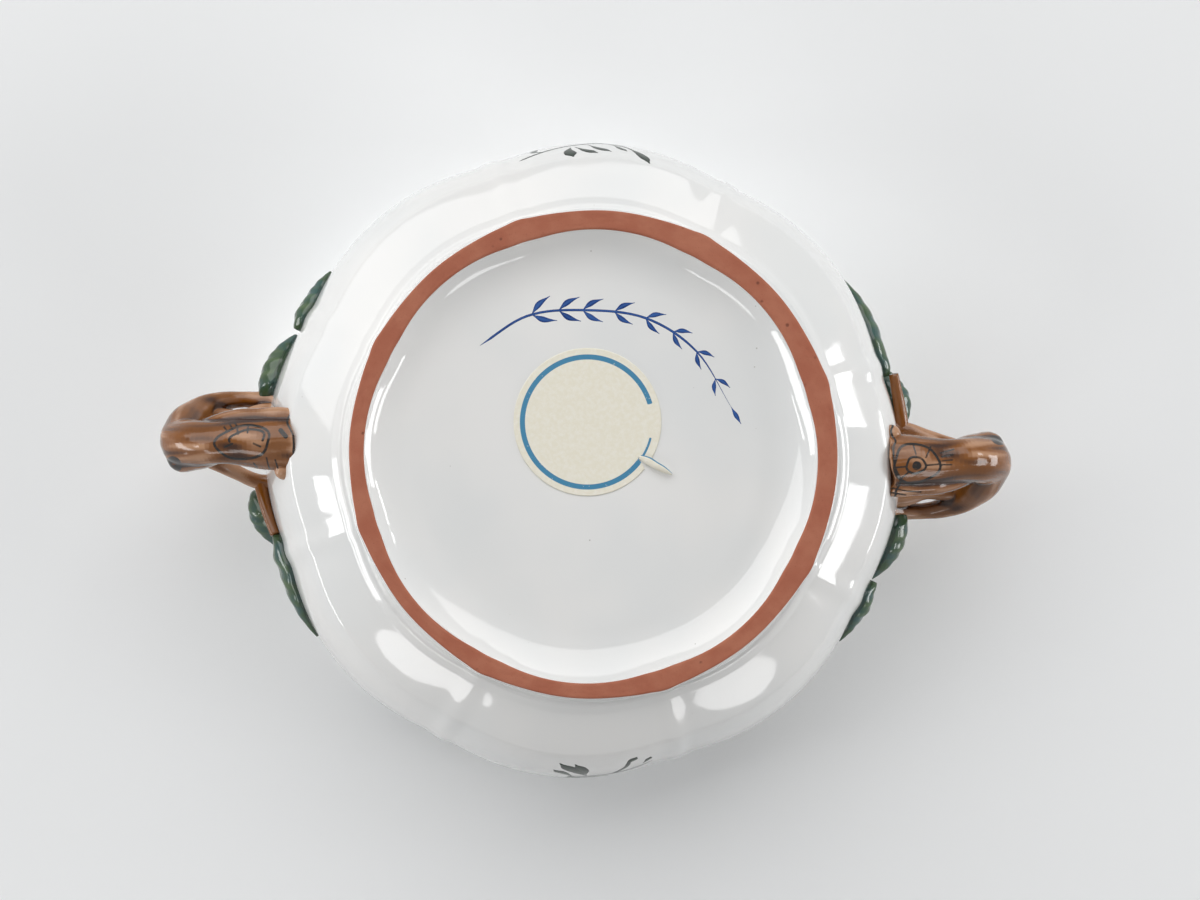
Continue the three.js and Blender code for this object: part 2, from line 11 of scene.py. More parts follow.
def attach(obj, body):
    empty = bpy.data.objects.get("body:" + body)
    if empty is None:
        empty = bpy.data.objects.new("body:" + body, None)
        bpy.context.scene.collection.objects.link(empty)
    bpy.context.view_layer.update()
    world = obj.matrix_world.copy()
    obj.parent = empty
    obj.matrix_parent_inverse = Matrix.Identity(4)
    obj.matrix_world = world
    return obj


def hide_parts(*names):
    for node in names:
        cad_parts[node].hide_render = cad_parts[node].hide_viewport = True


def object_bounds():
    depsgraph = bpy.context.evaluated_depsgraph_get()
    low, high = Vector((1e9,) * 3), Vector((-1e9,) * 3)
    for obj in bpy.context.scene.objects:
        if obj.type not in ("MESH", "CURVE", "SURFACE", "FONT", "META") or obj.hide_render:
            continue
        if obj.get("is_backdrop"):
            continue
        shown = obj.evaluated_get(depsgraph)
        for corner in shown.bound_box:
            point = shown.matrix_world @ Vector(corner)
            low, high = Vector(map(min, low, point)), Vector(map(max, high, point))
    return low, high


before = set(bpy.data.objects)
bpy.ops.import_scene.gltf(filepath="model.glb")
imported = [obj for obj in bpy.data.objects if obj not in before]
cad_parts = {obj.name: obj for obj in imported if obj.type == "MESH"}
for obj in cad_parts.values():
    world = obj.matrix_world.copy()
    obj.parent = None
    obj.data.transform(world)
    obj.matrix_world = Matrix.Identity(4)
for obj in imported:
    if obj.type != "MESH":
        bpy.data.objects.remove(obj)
cad_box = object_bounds()

MM = 0.001
DEGREE = math.pi / 180

# Foot ring
FOOT_RADIUS = 61
FOOT_BAND = 4.65
FOOT_HEIGHT = 5
FOOT_SPREAD_OUT = 0.95
FOOT_SPREAD_IN = 4
FOOT_EDGE = 0.7
CLAY_SEAT = 1.6
CLAY_INSETS = (0.25, 0.2)
CLAY_TAPER = 0.5
CLAY_WEAR = 0.09
CLAY_WORN_BELOW = 0.3
CLAY_WORN_WHERE = (0.1, 0.5)
CLAY_ROUGH_SCALE = 0.9
GLAZE_EDGE_WANDER = 0.25
GLAZE_EDGE_REACH = 0.5
GLAZE_EDGE_WAVES = 4
FOOT_RIB_HALF_ANGLE = 9 * DEGREE
FOOT_INNER_STRAY = (-0.35, 0.4, 120 * DEGREE)
FOOT_OUTER_STRAY = (1.2, -0.5, 160 * DEGREE)

# Glaze beside the clay: how far out from the ring's inner or outer radius, and how high
CLAY_SEAT_INSET = 0.7
GLAZE_ROLL_IN = ((0, 0.98), (0.05, 0.525), (0.4, 0.63))
GLAZE_ROLL_OUT = ((-0.35, 0.63), (0.05, 0.525), (0.08, 1.12))
FOOT_SIDE = ((0.6, 3.3), (0.8, 5), (2, 4.85), (2.6, 4.9))

# Bowl
BOWL_HEIGHT = 70
RIM_RADIUS = 89.7
RIM_WIDTH = 5
RIM_ROUND = 1.6
RIM_FLARE_ANGLE = 3 * DEGREE
FLANK_ANGLE = 24 * DEGREE
FLANK_END_ANGLE = 31 * DEGREE
BELLY_RADIUS = 76.5
BELLY_HEIGHT = 12.5
BELLY_ANGLE = 56 * DEGREE
WALL = 4.5
BASE_RECESS = 6
BASE_FLAT_RADIUS = 44
FLOOR_THICKNESS = 4.5
FLOOR_RADIUS = 58
FLANK_PULLS = (0.35, 0.35)
WALL_PULLS = (0.2, 0.5)
FLOOR_PULLS = (0.3, 0.4)

# Lobes and the ribs in the valleys between them
LOBE_COUNT = 8
LOBE_PITCH = 2 * math.pi / LOBE_COUNT
LOBE_TURN = 5 * DEGREE
LOBE_SWELL = 2.2
LOBE_FADE_START = 38
LOBE_FADE_END = 84
RIB_HEIGHT = 0.9
RIB_HALF_WIDTH = 2.6

# Paper label on the base
LABEL_RADIUS = 18.75
LABEL_THICKNESS = 0.2
LABEL_SINK = 0.05
LABEL_CENTRE = np.array((-0.7, -8.6))
LABEL_RING_RADIUS = 16.5
LABEL_RING_WIDTH = 1.3

# Lid
SEAT_GAP = 0.3
LID_SETBACK = 1.2
LID_EDGE = 3.6
LID_EDGE_ROUND = 1.2
LID_RISE = 31
LID_THICKNESS = 4.5
LID_SHOULDER_RADIUS = 68
LID_SHOULDER_RISE = 13
FLANGE_DEPTH = 6
FLANGE_THICKNESS = 3.5
FLANGE_CLEARANCE = 1.6
FLANGE_ROUND = 0.8
SKIRT_PULLS = (0.4, 0.7, 0.55)
CROWN_PULLS = (0.82, 0.72, 0.45)
HOLLOW_PULL = 0.6

# Handles: joints of their limbs, out from, beside and up from the wall at the roots, each with a radius
HANDLE_HEIGHT = 46
MAIN_LIMB = (
    (-2.4, 15, 0, 3.6), (2.5, 15.4, 0.6, 2.6), (7.5, 15.4, 0.4, 2.3), (12.5, 14.6, -1.5, 2.9),
    (17.4, 12, -5, 4.3), (20.4, 7.2, -10.5, 5.7), (20.5, 2.8, -17, 6.2), (15.8, 2.2, -23.6, 6.2),
    (7.5, 2.5, -27, 5.9), (-2, 2.7, -27.6, 7), (-12, 2.9, -27.6, 7.8),
)
INNER_TWIG = (
    (-2.2, -7.6, 0, 2.6), (2.5, -7.2, -1, 2.1), (7.5, -5.2, -3.5, 2), (13, -2, -7.5, 2.6),
    (18, 1.4, -12.5, 3.6),
)
BARK_TWIG = (
    (-11, 9.1, -30, 2.5), (-4, 9.1, -29, 2.6), (4, 8.6, -27.5, 2.5), (11, 7.2, -24, 2.6),
    (16.4, 5, -18.5, 2.6),
)
BRIDGE_TWIG = (
    (-2, 11.8, -2.4, 2.6), (3, 11.8, -2.8, 2), (7, 11.2, -4, 1.3), (11.5, 11.4, -4.8, 1.4),
    (16.5, 10.8, -6.5, 2.4),
)
KNOT_LIMB = ((8, 1.6, -25.8, 4.6), (13, 0.6, -23.2, 4.8), (17.2, -0.4, -20.4, 4.6), (20.4, -1, -18, 4.3))
BARK_LUMP = (-8.5, -4.8, -29, 2.4)
STUMP_RAGGED = 2.2
STUMP_RAGGED_SCALES = (0.3, 0.22, 0)
STUMP_TOP = -12
STUMP_SQUEEZE = 0.25
WALL_BITE = 1.2
BARK_DEPTH = 0.5

# The two sides: how far each is turned, how far it leans round from the diameter through the handles,
# how far out its stump ends, and how far its leaf stem is lifted off the wall at both ends
SIDES = (
    ("right", 0, -1 * DEGREE, -8.6, (2, 3.2)),
    ("left", math.pi, 1 * DEGREE, -11, (1.8, 1.3)),
)

# Leaf sprays beside a handle: degrees from its middle and heights on the wall, half widths and reliefs
STEM_RADII = (1.9, 1.3)
STEM_START = (-5, 45)
WALL_LEAVES = (
    ((-6, 50), (-17, 53), 6.2, 6.6),
    ((-14.5, 41), (-34.5, 47), 6.2, 3.2),
    ((10, 45), (23, 49), 6, 5),
    ((23.6, 40), (36, 44), 5, 3),
)

# Form of every leaf
LEAF_TIP = 0.08
LEAF_POWERS = (0.7, 0.9)
LEAF_ROOT_HEIGHT = 0.6
LEAF_TIP_DROP = 0.5
LEAF_EDGE_DROP = 0.7
LEAF_UNDER_SHARE = 0.97
LEAF_WAVE = 0.05
LEAF_LEAST = 0.3
LEAF_SINK = 0.35
VEIN_COUNT = 5.5
VEIN_SLANT = 0.55
VEIN_HEIGHT = 0.14
MIDRIB_HALF_WIDTH = 0.8
MIDRIB_DEPTH = 0.5
MIDRIB_LINE_HALF = 0.2
UNDER_LEAF_INK = 0.03
CREST_LEVELS = (0.6, 0.25)

# Knob: joints of its limbs from the top of the lid's dome, each with a radius, leaves that run between
# places on the dome, and the radius and half width of the ring drawn at the stub's end
KNOB_ARCH = (
    (-17, -3, -4, 5.8), (-16, -2.8, 0, 4.9), (-13.5, -2, 5, 4.5), (-7.5, 0, 14.5, 4.4), (1, 1, 18, 4.8),
    (9.5, 1, 14.5, 4.9), (14, 1, 5.5, 4.8), (16.5, 1.7, 0, 5.1), (17.5, 2, -4, 6),
)
KNOB_STUB = ((1, 1, 17, 4.2), (6, -3, 20.5, 3.6), (10.5, -6.5, 23, 3.9))
KNOB_LEAVES = (
    ((24, 6), (46, 25)), ((-23, 7), (-44, 26)), ((-24, -9), (-46, -27)), ((23, -7), (45, -26)),
)
KNOB_LEAF_HALF_WIDTH = 6.5
KNOB_LEAF_RELIEF = 2.6
KNOB_RING = (3.0, 0.25)

# Fineness of the meshes
TURN_STEPS = 480
CURVE_STEPS = 28
ROUND_STEPS = 8
FLAT_STEPS = 24
FLANK_JOIN = 6
LABEL_SIDES = 300
LABEL_RINGS = 80
STROKE_STEPS = 8
LIMB_SIDES = 24
LIMB_STEPS = 8
BALL_RINGS = 13
BALL_SIDES = 16
OVAL_STEPS = 40
STEM_JOINTS = 5
BARK_VOXEL = 0.32
BARK_ROUNDS = 7
LEAF_ROWS = 44
LEAF_COLUMNS = 20

# Camera, in metres: a 48 mm lens over a 36 mm sensor, looking straight up at the foot, with the bowl's
# back uppermost. The frame is shifted, as in a picture trimmed to one side of its middle.
CAMERA_PLACE = (-0.0244, 0.015, -0.4)
CAMERA_LENS = 48
CAMERA_SHIFT = (0.0883, 0.0542)
CAMERA_CLIP = (0.02, 40)

# Sheets of the stage, in metres
TABLE_HEIGHT = 0.07015
STAGE_REACH = 2
STAGE_FADE = (0.3, 1.2)


# Curves

def unit(angle):
    return np.array((math.cos(angle), math.sin(angle)))


def round_angles(count):
    return np.linspace(0, 2 * math.pi, count, endpoint=False)


def sloped_curve(start, end, slopes, pulls, steps):
    """A curve that leaves and arrives at given slopes, each kept over a share of the distance."""
    start, end = np.array(start, float), np.array(end, float)
    span = np.linalg.norm(end - start)
    leave = start + pulls[0] * span * unit(slopes[0])
    arrive = end - pulls[1] * span * unit(slopes[1])
    return curve(steps, start, leave, arrive, end)


def curve(steps, *controls):
    """The curve that a row of control points draws: straight for two, and bent for three or four."""
    t = np.linspace(0, 1, steps + 1)[:, None]
    points = [np.array(point, float) for point in controls]
    while len(points) > 1:
        points = [(1 - t) * first + t * second for first, second in zip(points, points[1:])]
    return points[0]


def chain(*runs):
    """Runs of points set end to end, with their shared points kept once."""
    return np.vstack([runs[0], *[run[1:] for run in runs[1:]]])


def rounded(corners, radius, steps):
    """Straight lines through corners, rounded between the ends, with a count of steps for each line."""
    corners = np.array(corners, float)
    runs, start = [], corners[0]
    for before, corner, after, count in zip(corners, corners[1:], corners[2:], steps):
        arrive = corner + radius * (before - corner) / np.linalg.norm(before - corner)
        leave = corner + radius * (after - corner) / np.linalg.norm(after - corner)
        runs += [curve(count, start, arrive), curve(ROUND_STEPS, arrive, corner, leave)]
        start = leave
    return chain(*runs, curve(steps[-1], start, corners[-1]))


def through(points, steps):
    """A smooth path through points of any dimension, each span taking the same number of steps."""
    points = np.array(points, float)
    padded = np.vstack([2 * points[0] - points[1], points, 2 * points[-1] - points[-2]])
    t = np.linspace(0, 1, steps, endpoint=False)[:, None]
    spans = []
    for p0, p1, p2, p3 in zip(padded, padded[1:], padded[2:], padded[3:]):
        spans.append(
            p1 + 0.5 * t * (p2 - p0 + t * (2 * p0 - 5 * p1 + 4 * p2 - p3 + t * (3 * (p1 - p2) + p3 - p0)))
        )
    return np.vstack([*spans, points[-1:]])


def directions(path):
    """The unit direction of a path at each of its points."""
    tangent = np.gradient(path, axis=0)
    return tangent / np.linalg.norm(tangent, axis=1, keepdims=True)


def smoothstep(value, low, high):
    t = np.clip((value - low) / (high - low), 0, 1)
    return t * t * (3 - 2 * t)


def noise_at(points):
    return np.array([noise.noise(Vector(point)) for point in points])


def off_middle(angle):
    """How far each angle lies from the middle of its lobe, in shares of a lobe: a half at the ribs."""
    turns = (angle - LOBE_TURN) / LOBE_PITCH
    return np.abs(turns - np.round(turns))


def lobed_radius(radius, angle):
    """Radius of a round profile once the lobes have swelled it and the ribs stand in the valleys."""
    off = off_middle(angle)
    swell = LOBE_SWELL * (np.cos(math.pi * off) - 2 / math.pi)
    from_rib = (0.5 - off) * LOBE_PITCH * radius
    rib = RIB_HEIGHT * np.exp(-((from_rib / RIB_HALF_WIDTH) ** 2))
    return radius + smoothstep(radius, LOBE_FADE_START, LOBE_FADE_END) * (swell + rib)


# Profiles, as points of radius and height

foot_top_radius = FOOT_RADIUS + FOOT_SPREAD_OUT
foot_inner_radius = FOOT_RADIUS - FOOT_BAND
foot_inner_top = foot_inner_radius - FOOT_SPREAD_IN
mouth_radius = RIM_RADIUS - RIM_WIDTH
floor_height = BASE_RECESS + FLOOR_THICKNESS
rim_slope = math.pi / 2 - RIM_FLARE_ANGLE
lid_seat = BOWL_HEIGHT + SEAT_GAP
lid_radius = RIM_RADIUS - LID_SETBACK
lid_top = lid_seat + LID_RISE


def outer_wall():
    belly = (BELLY_RADIUS, BELLY_HEIGHT)
    lip = (RIM_RADIUS, BOWL_HEIGHT - RIM_ROUND)
    flank = sloped_curve(
        (foot_top_radius, FOOT_HEIGHT), belly, (FLANK_ANGLE, FLANK_END_ANGLE), FLANK_PULLS, CURVE_STEPS,
    )
    wall = sloped_curve(belly, lip, (BELLY_ANGLE, rim_slope), WALL_PULLS, CURVE_STEPS)
    return chain(flank, wall)


def inner_wall():
    lip = (mouth_radius, BOWL_HEIGHT - RIM_ROUND)
    belly = (BELLY_RADIUS - WALL * math.sin(BELLY_ANGLE), BELLY_HEIGHT + WALL * math.cos(BELLY_ANGLE))
    inward = BELLY_ANGLE + math.pi
    down = sloped_curve(lip, belly, (rim_slope + math.pi, inward), WALL_PULLS[::-1], CURVE_STEPS)
    turn = sloped_curve(belly, (FLOOR_RADIUS, floor_height), (inward, math.pi), FLOOR_PULLS, CURVE_STEPS)
    return chain(down, turn)


def crown(radius, low, high):
    """The curve of the lid's crown, from the shoulder to the middle."""
    leave = (CROWN_PULLS[0] * radius, low + CROWN_PULLS[1] * (high - low))
    return curve(CURVE_STEPS, (radius, low), leave, (CROWN_PULLS[2] * radius, high), (0, high))


def lid_dome():
    edge_top = lid_seat + LID_EDGE
    brim = lid_radius - LID_EDGE_ROUND
    shoulder = lid_seat + LID_SHOULDER_RISE
    reach = LID_SHOULDER_RADIUS - brim
    leave = (brim + SKIRT_PULLS[0] * reach, edge_top)
    arrive = (brim + SKIRT_PULLS[1] * reach, edge_top + SKIRT_PULLS[2] * (shoulder - edge_top))
    skirt = curve(CURVE_STEPS, (brim, edge_top), leave, arrive, (LID_SHOULDER_RADIUS, shoulder))
    return chain(skirt, crown(LID_SHOULDER_RADIUS, shoulder, lid_top))


outer_points = outer_wall()
inner_points = inner_wall()
dome_points = lid_dome()


def wall_radius(height):
    return np.interp(height, outer_points[:, 1], outer_points[:, 0])


def wall_point(angle, height, lift):
    radius = lobed_radius(wall_radius(height), angle) + lift
    return np.stack([radius * np.cos(angle), radius * np.sin(angle), height + 0 * radius], -1)


def lid_height(x, y):
    plan = np.hypot(x, y)
    radius = 2 * plan - lobed_radius(plan, np.arctan2(y, x))
    return np.interp(-radius, -dome_points[:, 0], dome_points[:, 1])


# Meshes

turn_angles = round_angles(TURN_STEPS)


def ring_faces(count, around, closed=False):
    """Four-sided faces between rings of points, with the last ring joined to the first where closed."""
    faces = []
    for ring in range(count if closed else count - 1):
        low, high = ring * around, (ring + 1) % count * around
        for step in range(around):
            following = (step + 1) % around
            faces.append((low + step, low + following, high + following, high + step))
    return faces


def revolve(profile, shift=0.0):
    """A lobed turned form, with each ring shifted out by its own amount at each angle. A profile that
    starts and ends on the axis is closed by a point at each end, and any other is closed on itself."""
    on_axis = profile[0][0] == 0
    rings = profile[1:-1] if on_axis else profile
    radius = lobed_radius(np.repeat(rings[:, :1], TURN_STEPS, 1) + shift, turn_angles[None, :])
    height = np.repeat(rings[:, 1:], TURN_STEPS, 1)
    points = np.stack([radius * np.cos(turn_angles), radius * np.sin(turn_angles), height], -1)
    points = points.reshape(-1, 3)
    faces = ring_faces(len(rings), TURN_STEPS, not on_axis)
    if on_axis:
        points = np.vstack([points, [0, 0, profile[0][1]], [0, 0, profile[-1][1]]])
        last = (len(rings) - 1) * TURN_STEPS
        for step in range(TURN_STEPS):
            following = (step + 1) % TURN_STEPS
            faces.append((len(points) - 2, following, step))
            faces.append((len(points) - 1, last + step, last + following))
    return points, faces


def edge_wander():
    """How far a hand-wiped edge strays at each angle, from -1 to 1."""
    circle = np.stack([np.cos(turn_angles), np.sin(turn_angles), 0 * turn_angles], -1)
    return noise_at(GLAZE_EDGE_WAVES * circle + (0, 0, 0.3))


def foot_shift(rings):
    """How far the foot's two edges stray at each ring and angle: each swells where a rib runs into it, and
    drifts slowly round the ring."""
    from_rib = (0.5 - off_middle(turn_angles)) * LOBE_PITCH
    ribs = np.exp(-((from_rib / FOOT_RIB_HALF_ANGLE) ** 2))
    out_share = np.clip((rings[:, 0] - foot_inner_radius) / FOOT_BAND, 0, 1)
    in_share = (1 - out_share) * smoothstep(rings[:, 0], BASE_FLAT_RADIUS, foot_inner_radius)
    low_share = 1 - smoothstep(rings[:, 1], CLAY_SEAT, FOOT_HEIGHT)
    shift = np.zeros((len(rings), TURN_STEPS))
    for share, (swell, drift, towards) in ((in_share, FOOT_INNER_STRAY), (out_share, FOOT_OUTER_STRAY)):
        stray = swell * ribs + drift * np.cos(turn_angles - towards)
        shift += (share * low_share)[:, None] * stray[None, :]
    return shift


def loft(rings):
    """A closed skin over rings of points, with a flat face over each end."""
    rings = np.array(rings, float)
    count, around = rings.shape[:2]
    faces = ring_faces(count, around)
    faces.append(tuple(reversed(range(around))))
    faces.append(tuple(range((count - 1) * around, count * around)))
    return rings.reshape(-1, 3), faces


def join(meshes):
    """Several meshes as one list of points and faces."""
    points, faces, first = [], [], 0
    for mesh_points, mesh_faces in meshes:
        points.append(mesh_points)
        faces.extend(tuple(first + index for index in face) for face in mesh_faces)
        first += len(mesh_points)
    return np.vstack(points), faces


def add_object(name, data):
    item = bpy.data.objects.new(name, data)
    bpy.context.scene.collection.objects.link(item)
    return item


def add_piece(name, points, faces, material, body, replaced=(), attributes=None):
    """A new piece of the model, riding on its body."""
    mesh = bpy.data.meshes.new(name)
    mesh.from_pydata((np.asarray(points) * MM).tolist(), [], faces)
    mesh.materials.append(material)
    for key, values in (attributes or {}).items():
        values = np.asarray(values, np.float32)
        kind, field = ("FLOAT", "value") if values.ndim == 1 else ("FLOAT_VECTOR", "vector")
        mesh.attributes.new(key, kind, "POINT").data.foreach_set(field, values.ravel())
    work = bmesh.new()
    work.from_mesh(mesh)
    bmesh.ops.recalc_face_normals(work, faces=work.faces)
    work.to_mesh(mesh)
    work.free()
    mesh.shade_smooth()
    piece = add_object(name, mesh)
    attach(piece, body)
    if replaced:
        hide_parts(*replaced)


# Materials

class Nodes:
    """A node tree being put together: short calls that make a node and return its output."""

    def __init__(self, tree):
        self.nodes = tree.nodes
        self.links = tree.links

    def put(self, socket, value):
        if isinstance(value, bpy.types.NodeSocket):
            self.links.new(value, socket)
        elif socket.type == "RGBA":
            socket.default_value = (*value, 1)
        else:
            socket.default_value = value

    def add(self, kind, output=0, sockets=None, **settings):
        node = self.nodes.new("ShaderNode" + kind)
        for key, value in settings.items():
            setattr(node, key, value)
        for key, value in (sockets or {}).items():
            self.put(node.inputs[key], value)
        return node.outputs[output]

    def place(self):
        return self.add("TexCoord", "Object")

    def attribute(self, name, output="Fac"):
        return self.add("Attribute", output, attribute_name=name)

    def noise(self, vector, scale, detail=3, roughness=0.5):
        sockets = {"Vector": vector, "Scale": scale, "Detail": detail, "Roughness": roughness}
        return self.add("TexNoise", "Fac", sockets)

    def specks(self, vector, scale):
        return self.add("TexVoronoi", "Distance", {"Vector": vector, "Scale": scale})

    def math(self, operation, first, second):
        return self.add("Math", 0, {0: first, 1: second}, operation=operation)

    def between(self, value, low, high, to_low=0.0, to_high=1.0):
        sockets = dict(enumerate((value, low, high, to_low, to_high)))
        return self.add("MapRange", 0, sockets, interpolation_type="SMOOTHSTEP")

    def mix(self, factor, first, second):
        return self.add("Mix", 2, {"Factor": factor, 6: first, 7: second}, data_type="RGBA")

    def bump(self, height, strength, distance, under=None):
        sockets = {"Strength": strength, "Distance": distance, "Height": height}
        if under is not None:
            sockets["Normal"] = under
        return self.add("Bump", "Normal", sockets)


class Shader(Nodes):
    """The nodes of a new material."""

    def __init__(self, name):
        self.material = bpy.data.materials.new(name)
        self.material.use_nodes = True
        super().__init__(self.material.node_tree)
        self.surface = self.nodes["Principled BSDF"]

    def set(self, **values):
        for key, value in values.items():
            self.put(self.surface.inputs[key.replace("_", " ")], value)


GLAZE_WHITE = (0.84, 0.835, 0.82)
GLAZE_COOL = (0.79, 0.8, 0.795)
SMOKE = (0.5, 0.49, 0.46)


def glaze_material():
    """White tin glaze: glassy, a little uneven, with a few pinholes."""
    shader = Shader("white tin glaze")
    place = shader.place()
    cloud = shader.noise(place, 28, 2)
    pinhole = shader.between(shader.specks(place, 190), 0.05, 0.02)
    rare = shader.math("MULTIPLY", pinhole, shader.between(shader.noise(place, 60, 0), 0.64, 0.7))
    white = shader.mix(shader.between(cloud, 0.35, 0.7), GLAZE_WHITE, GLAZE_COOL)
    shader.set(Base_Color=shader.mix(rare, white, SMOKE))
    shader.set(Roughness=shader.between(shader.noise(place, 90, 2), 0.3, 0.8, 0.04, 0.09), IOR=1.6)
    waves = shader.bump(shader.noise(place, 55, 1), 0.25, 0.0006)
    shader.set(Normal=shader.bump(shader.noise(place, 420, 1), 0.1, 0.00008, waves))
    return shader.material


CLAY_RED = (0.375, 0.118, 0.066)
CLAY_PALE = (0.43, 0.155, 0.09)
CLAY_DARK = (0.2, 0.062, 0.035)


def clay_material():
    """Bare red clay, wiped round and a little gritty."""
    shader = Shader("bare red clay")
    place = shader.place()
    patches = shader.between(shader.noise(place, 120, 4), 0.35, 0.7)
    colour = shader.mix(patches, CLAY_RED, CLAY_PALE)
    grit = shader.between(shader.noise(place, 2600, 2), 0.6, 0.75)
    colour = shader.mix(shader.math("MULTIPLY", grit, 0.35), colour, CLAY_DARK)
    pits = shader.between(shader.specks(place, 330), 0.2, 0.08)
    pits = shader.math("MULTIPLY", pits, shader.between(shader.noise(place, 150, 1), 0.58, 0.66))
    shader.set(Base_Color=shader.mix(pits, colour, CLAY_DARK), Roughness=0.88)
    grain = shader.bump(shader.noise(place, 1800, 4), 0.5, 0.0001)
    shader.set(Normal=shader.bump(shader.math("SUBTRACT", 1.0, pits), 0.6, 0.0002, grain))
    return shader.material


BARK_BROWN = (0.225, 0.084, 0.023)
BARK_AMBER = (0.215, 0.07, 0.007)
# Pale: thin glaze over what stands out, and in part a painted sheen
BARK_THIN_GLAZE_AND_SHEEN = (0.46, 0.25, 0.14)
# Dark: glaze pooled in the hollows, and in part painted shade where limbs meet
BARK_POOLED_GLAZE_AND_SHADE = (0.04, 0.011, 0.003)
INK = (0.012, 0.01, 0.009)


def bark_material():
    """Brown glaze over modelled bark, with lines drawn by brush. It is darker in the hollows, partly pooled
    glaze and partly painted shade, and paler on what stands out, partly thin glaze and partly a painted
    sheen.
    """
    shader = Shader("brown bark glaze")
    grain = shader.attribute("grain", "Vector")
    place = shader.place()
    streaks = shader.noise(grain, 0.5, 3, 0.5)
    hollow = shader.attribute("hollow")
    patches = shader.between(shader.noise(place, 110, 2), 0.4, 0.6)
    colour = shader.mix(patches, BARK_BROWN, BARK_AMBER)
    # Painted sheen, in part: what stands out is made paler, as thin glaze
    thin = shader.between(shader.math("ADD", hollow, streaks), 0.5, -0.2)
    colour = shader.mix(thin, colour, BARK_THIN_GLAZE_AND_SHEEN)
    # Painted shade, in part: the hollows where limbs meet are darkened, as glaze pooled there
    colour = shader.mix(shader.between(hollow, 0.0, 0.75), colour, BARK_POOLED_GLAZE_AND_SHADE)
    stroke = shader.between(shader.attribute("ink"), 0.12, -0.12)
    brush = shader.between(shader.noise(grain, 1.6, 2), 0.25, 0.5, 0.75, 1.0)
    shader.set(Base_Color=shader.mix(shader.math("MULTIPLY", stroke, brush), colour, INK))
    shader.set(Roughness=shader.between(streaks, 0.3, 0.8, 0.07, 0.15), IOR=1.46)
    shader.set(Normal=shader.bump(streaks, 0.25, 0.0005))
    return shader.material


LEAF_GREEN = (0.045, 0.088, 0.04)
LEAF_TEAL = (0.03, 0.085, 0.075)
LEAF_PALE = (0.13, 0.19, 0.08)
LEAF_BLACK = (0.012, 0.018, 0.014)


def leaf_material():
    """Green glaze, pooled dark along the veins and the edge and thin over what stands out."""
    shader = Shader("green leaf glaze")
    place = shader.place()
    colour = shader.mix(shader.between(shader.noise(place, 180, 3), 0.4, 0.65), LEAF_GREEN, LEAF_TEAL)
    thin = shader.between(shader.attribute("crest"), 0.4, 1.1, 0.0, 0.6)
    colour = shader.mix(thin, colour, LEAF_PALE)
    line_share = shader.between(shader.attribute("ink"), 0.1, -0.1)
    shader.set(Base_Color=shader.mix(line_share, colour, LEAF_BLACK))
    shader.set(Roughness=shader.between(shader.noise(place, 300, 2), 0.3, 0.8, 0.09, 0.17), IOR=1.5)
    shader.set(Normal=shader.bump(shader.noise(place, 260, 2), 0.2, 0.0004))
    return shader.material


PAPER = (0.82, 0.78, 0.65)
PAPER_PALE = (0.86, 0.83, 0.73)
PRINT_BLUE = (0.045, 0.22, 0.38)


def paper_material():
    """Cream label paper with a printed ring, both a little worn."""
    shader = Shader("label paper")
    place = shader.place()
    fibres = shader.noise(place, 900, 4, 0.65)
    colour = shader.mix(shader.between(fibres, 0.35, 0.7), PAPER, PAPER_PALE)
    printed = shader.between(shader.attribute("ink"), 0.05, -0.05)
    worn = shader.between(shader.noise(place, 1400, 2), 0.24, 0.36, 0.55, 1.0)
    shader.set(Base_Color=shader.mix(shader.math("MULTIPLY", printed, worn), colour, PRINT_BLUE))
    shader.set(Roughness=0.55, Normal=shader.bump(fibres, 0.2, 0.00006))
    return shader.material


def paint_material(name, deep, thin):
    """Brush colour under the glaze, thinner in the middle of a mark than along its edge."""
    shader = Shader(name)
    place = shader.place()
    wash = shader.math("ADD", shader.attribute("edge"), shader.noise(place, 240, 2))
    shader.set(Base_Color=shader.mix(shader.between(wash, 0.35, 1.25), thin, deep), Roughness=0.2, IOR=1.2)
    shader.set(Normal=shader.bump(shader.noise(place, 55, 1), 0.25, 0.0006))
    return shader.material


GLAZE = glaze_material()
CLAY = clay_material()
BARK = bark_material()
LEAF = leaf_material()
LABEL = paper_material()
GREEN_PAINT = paint_material("green brush colour", (0.008, 0.016, 0.011), (0.022, 0.045, 0.026))
BLUE_PAINT = paint_material("blue brush colour", (0.018, 0.05, 0.2), (0.045, 0.12, 0.36))


# Bowl and foot

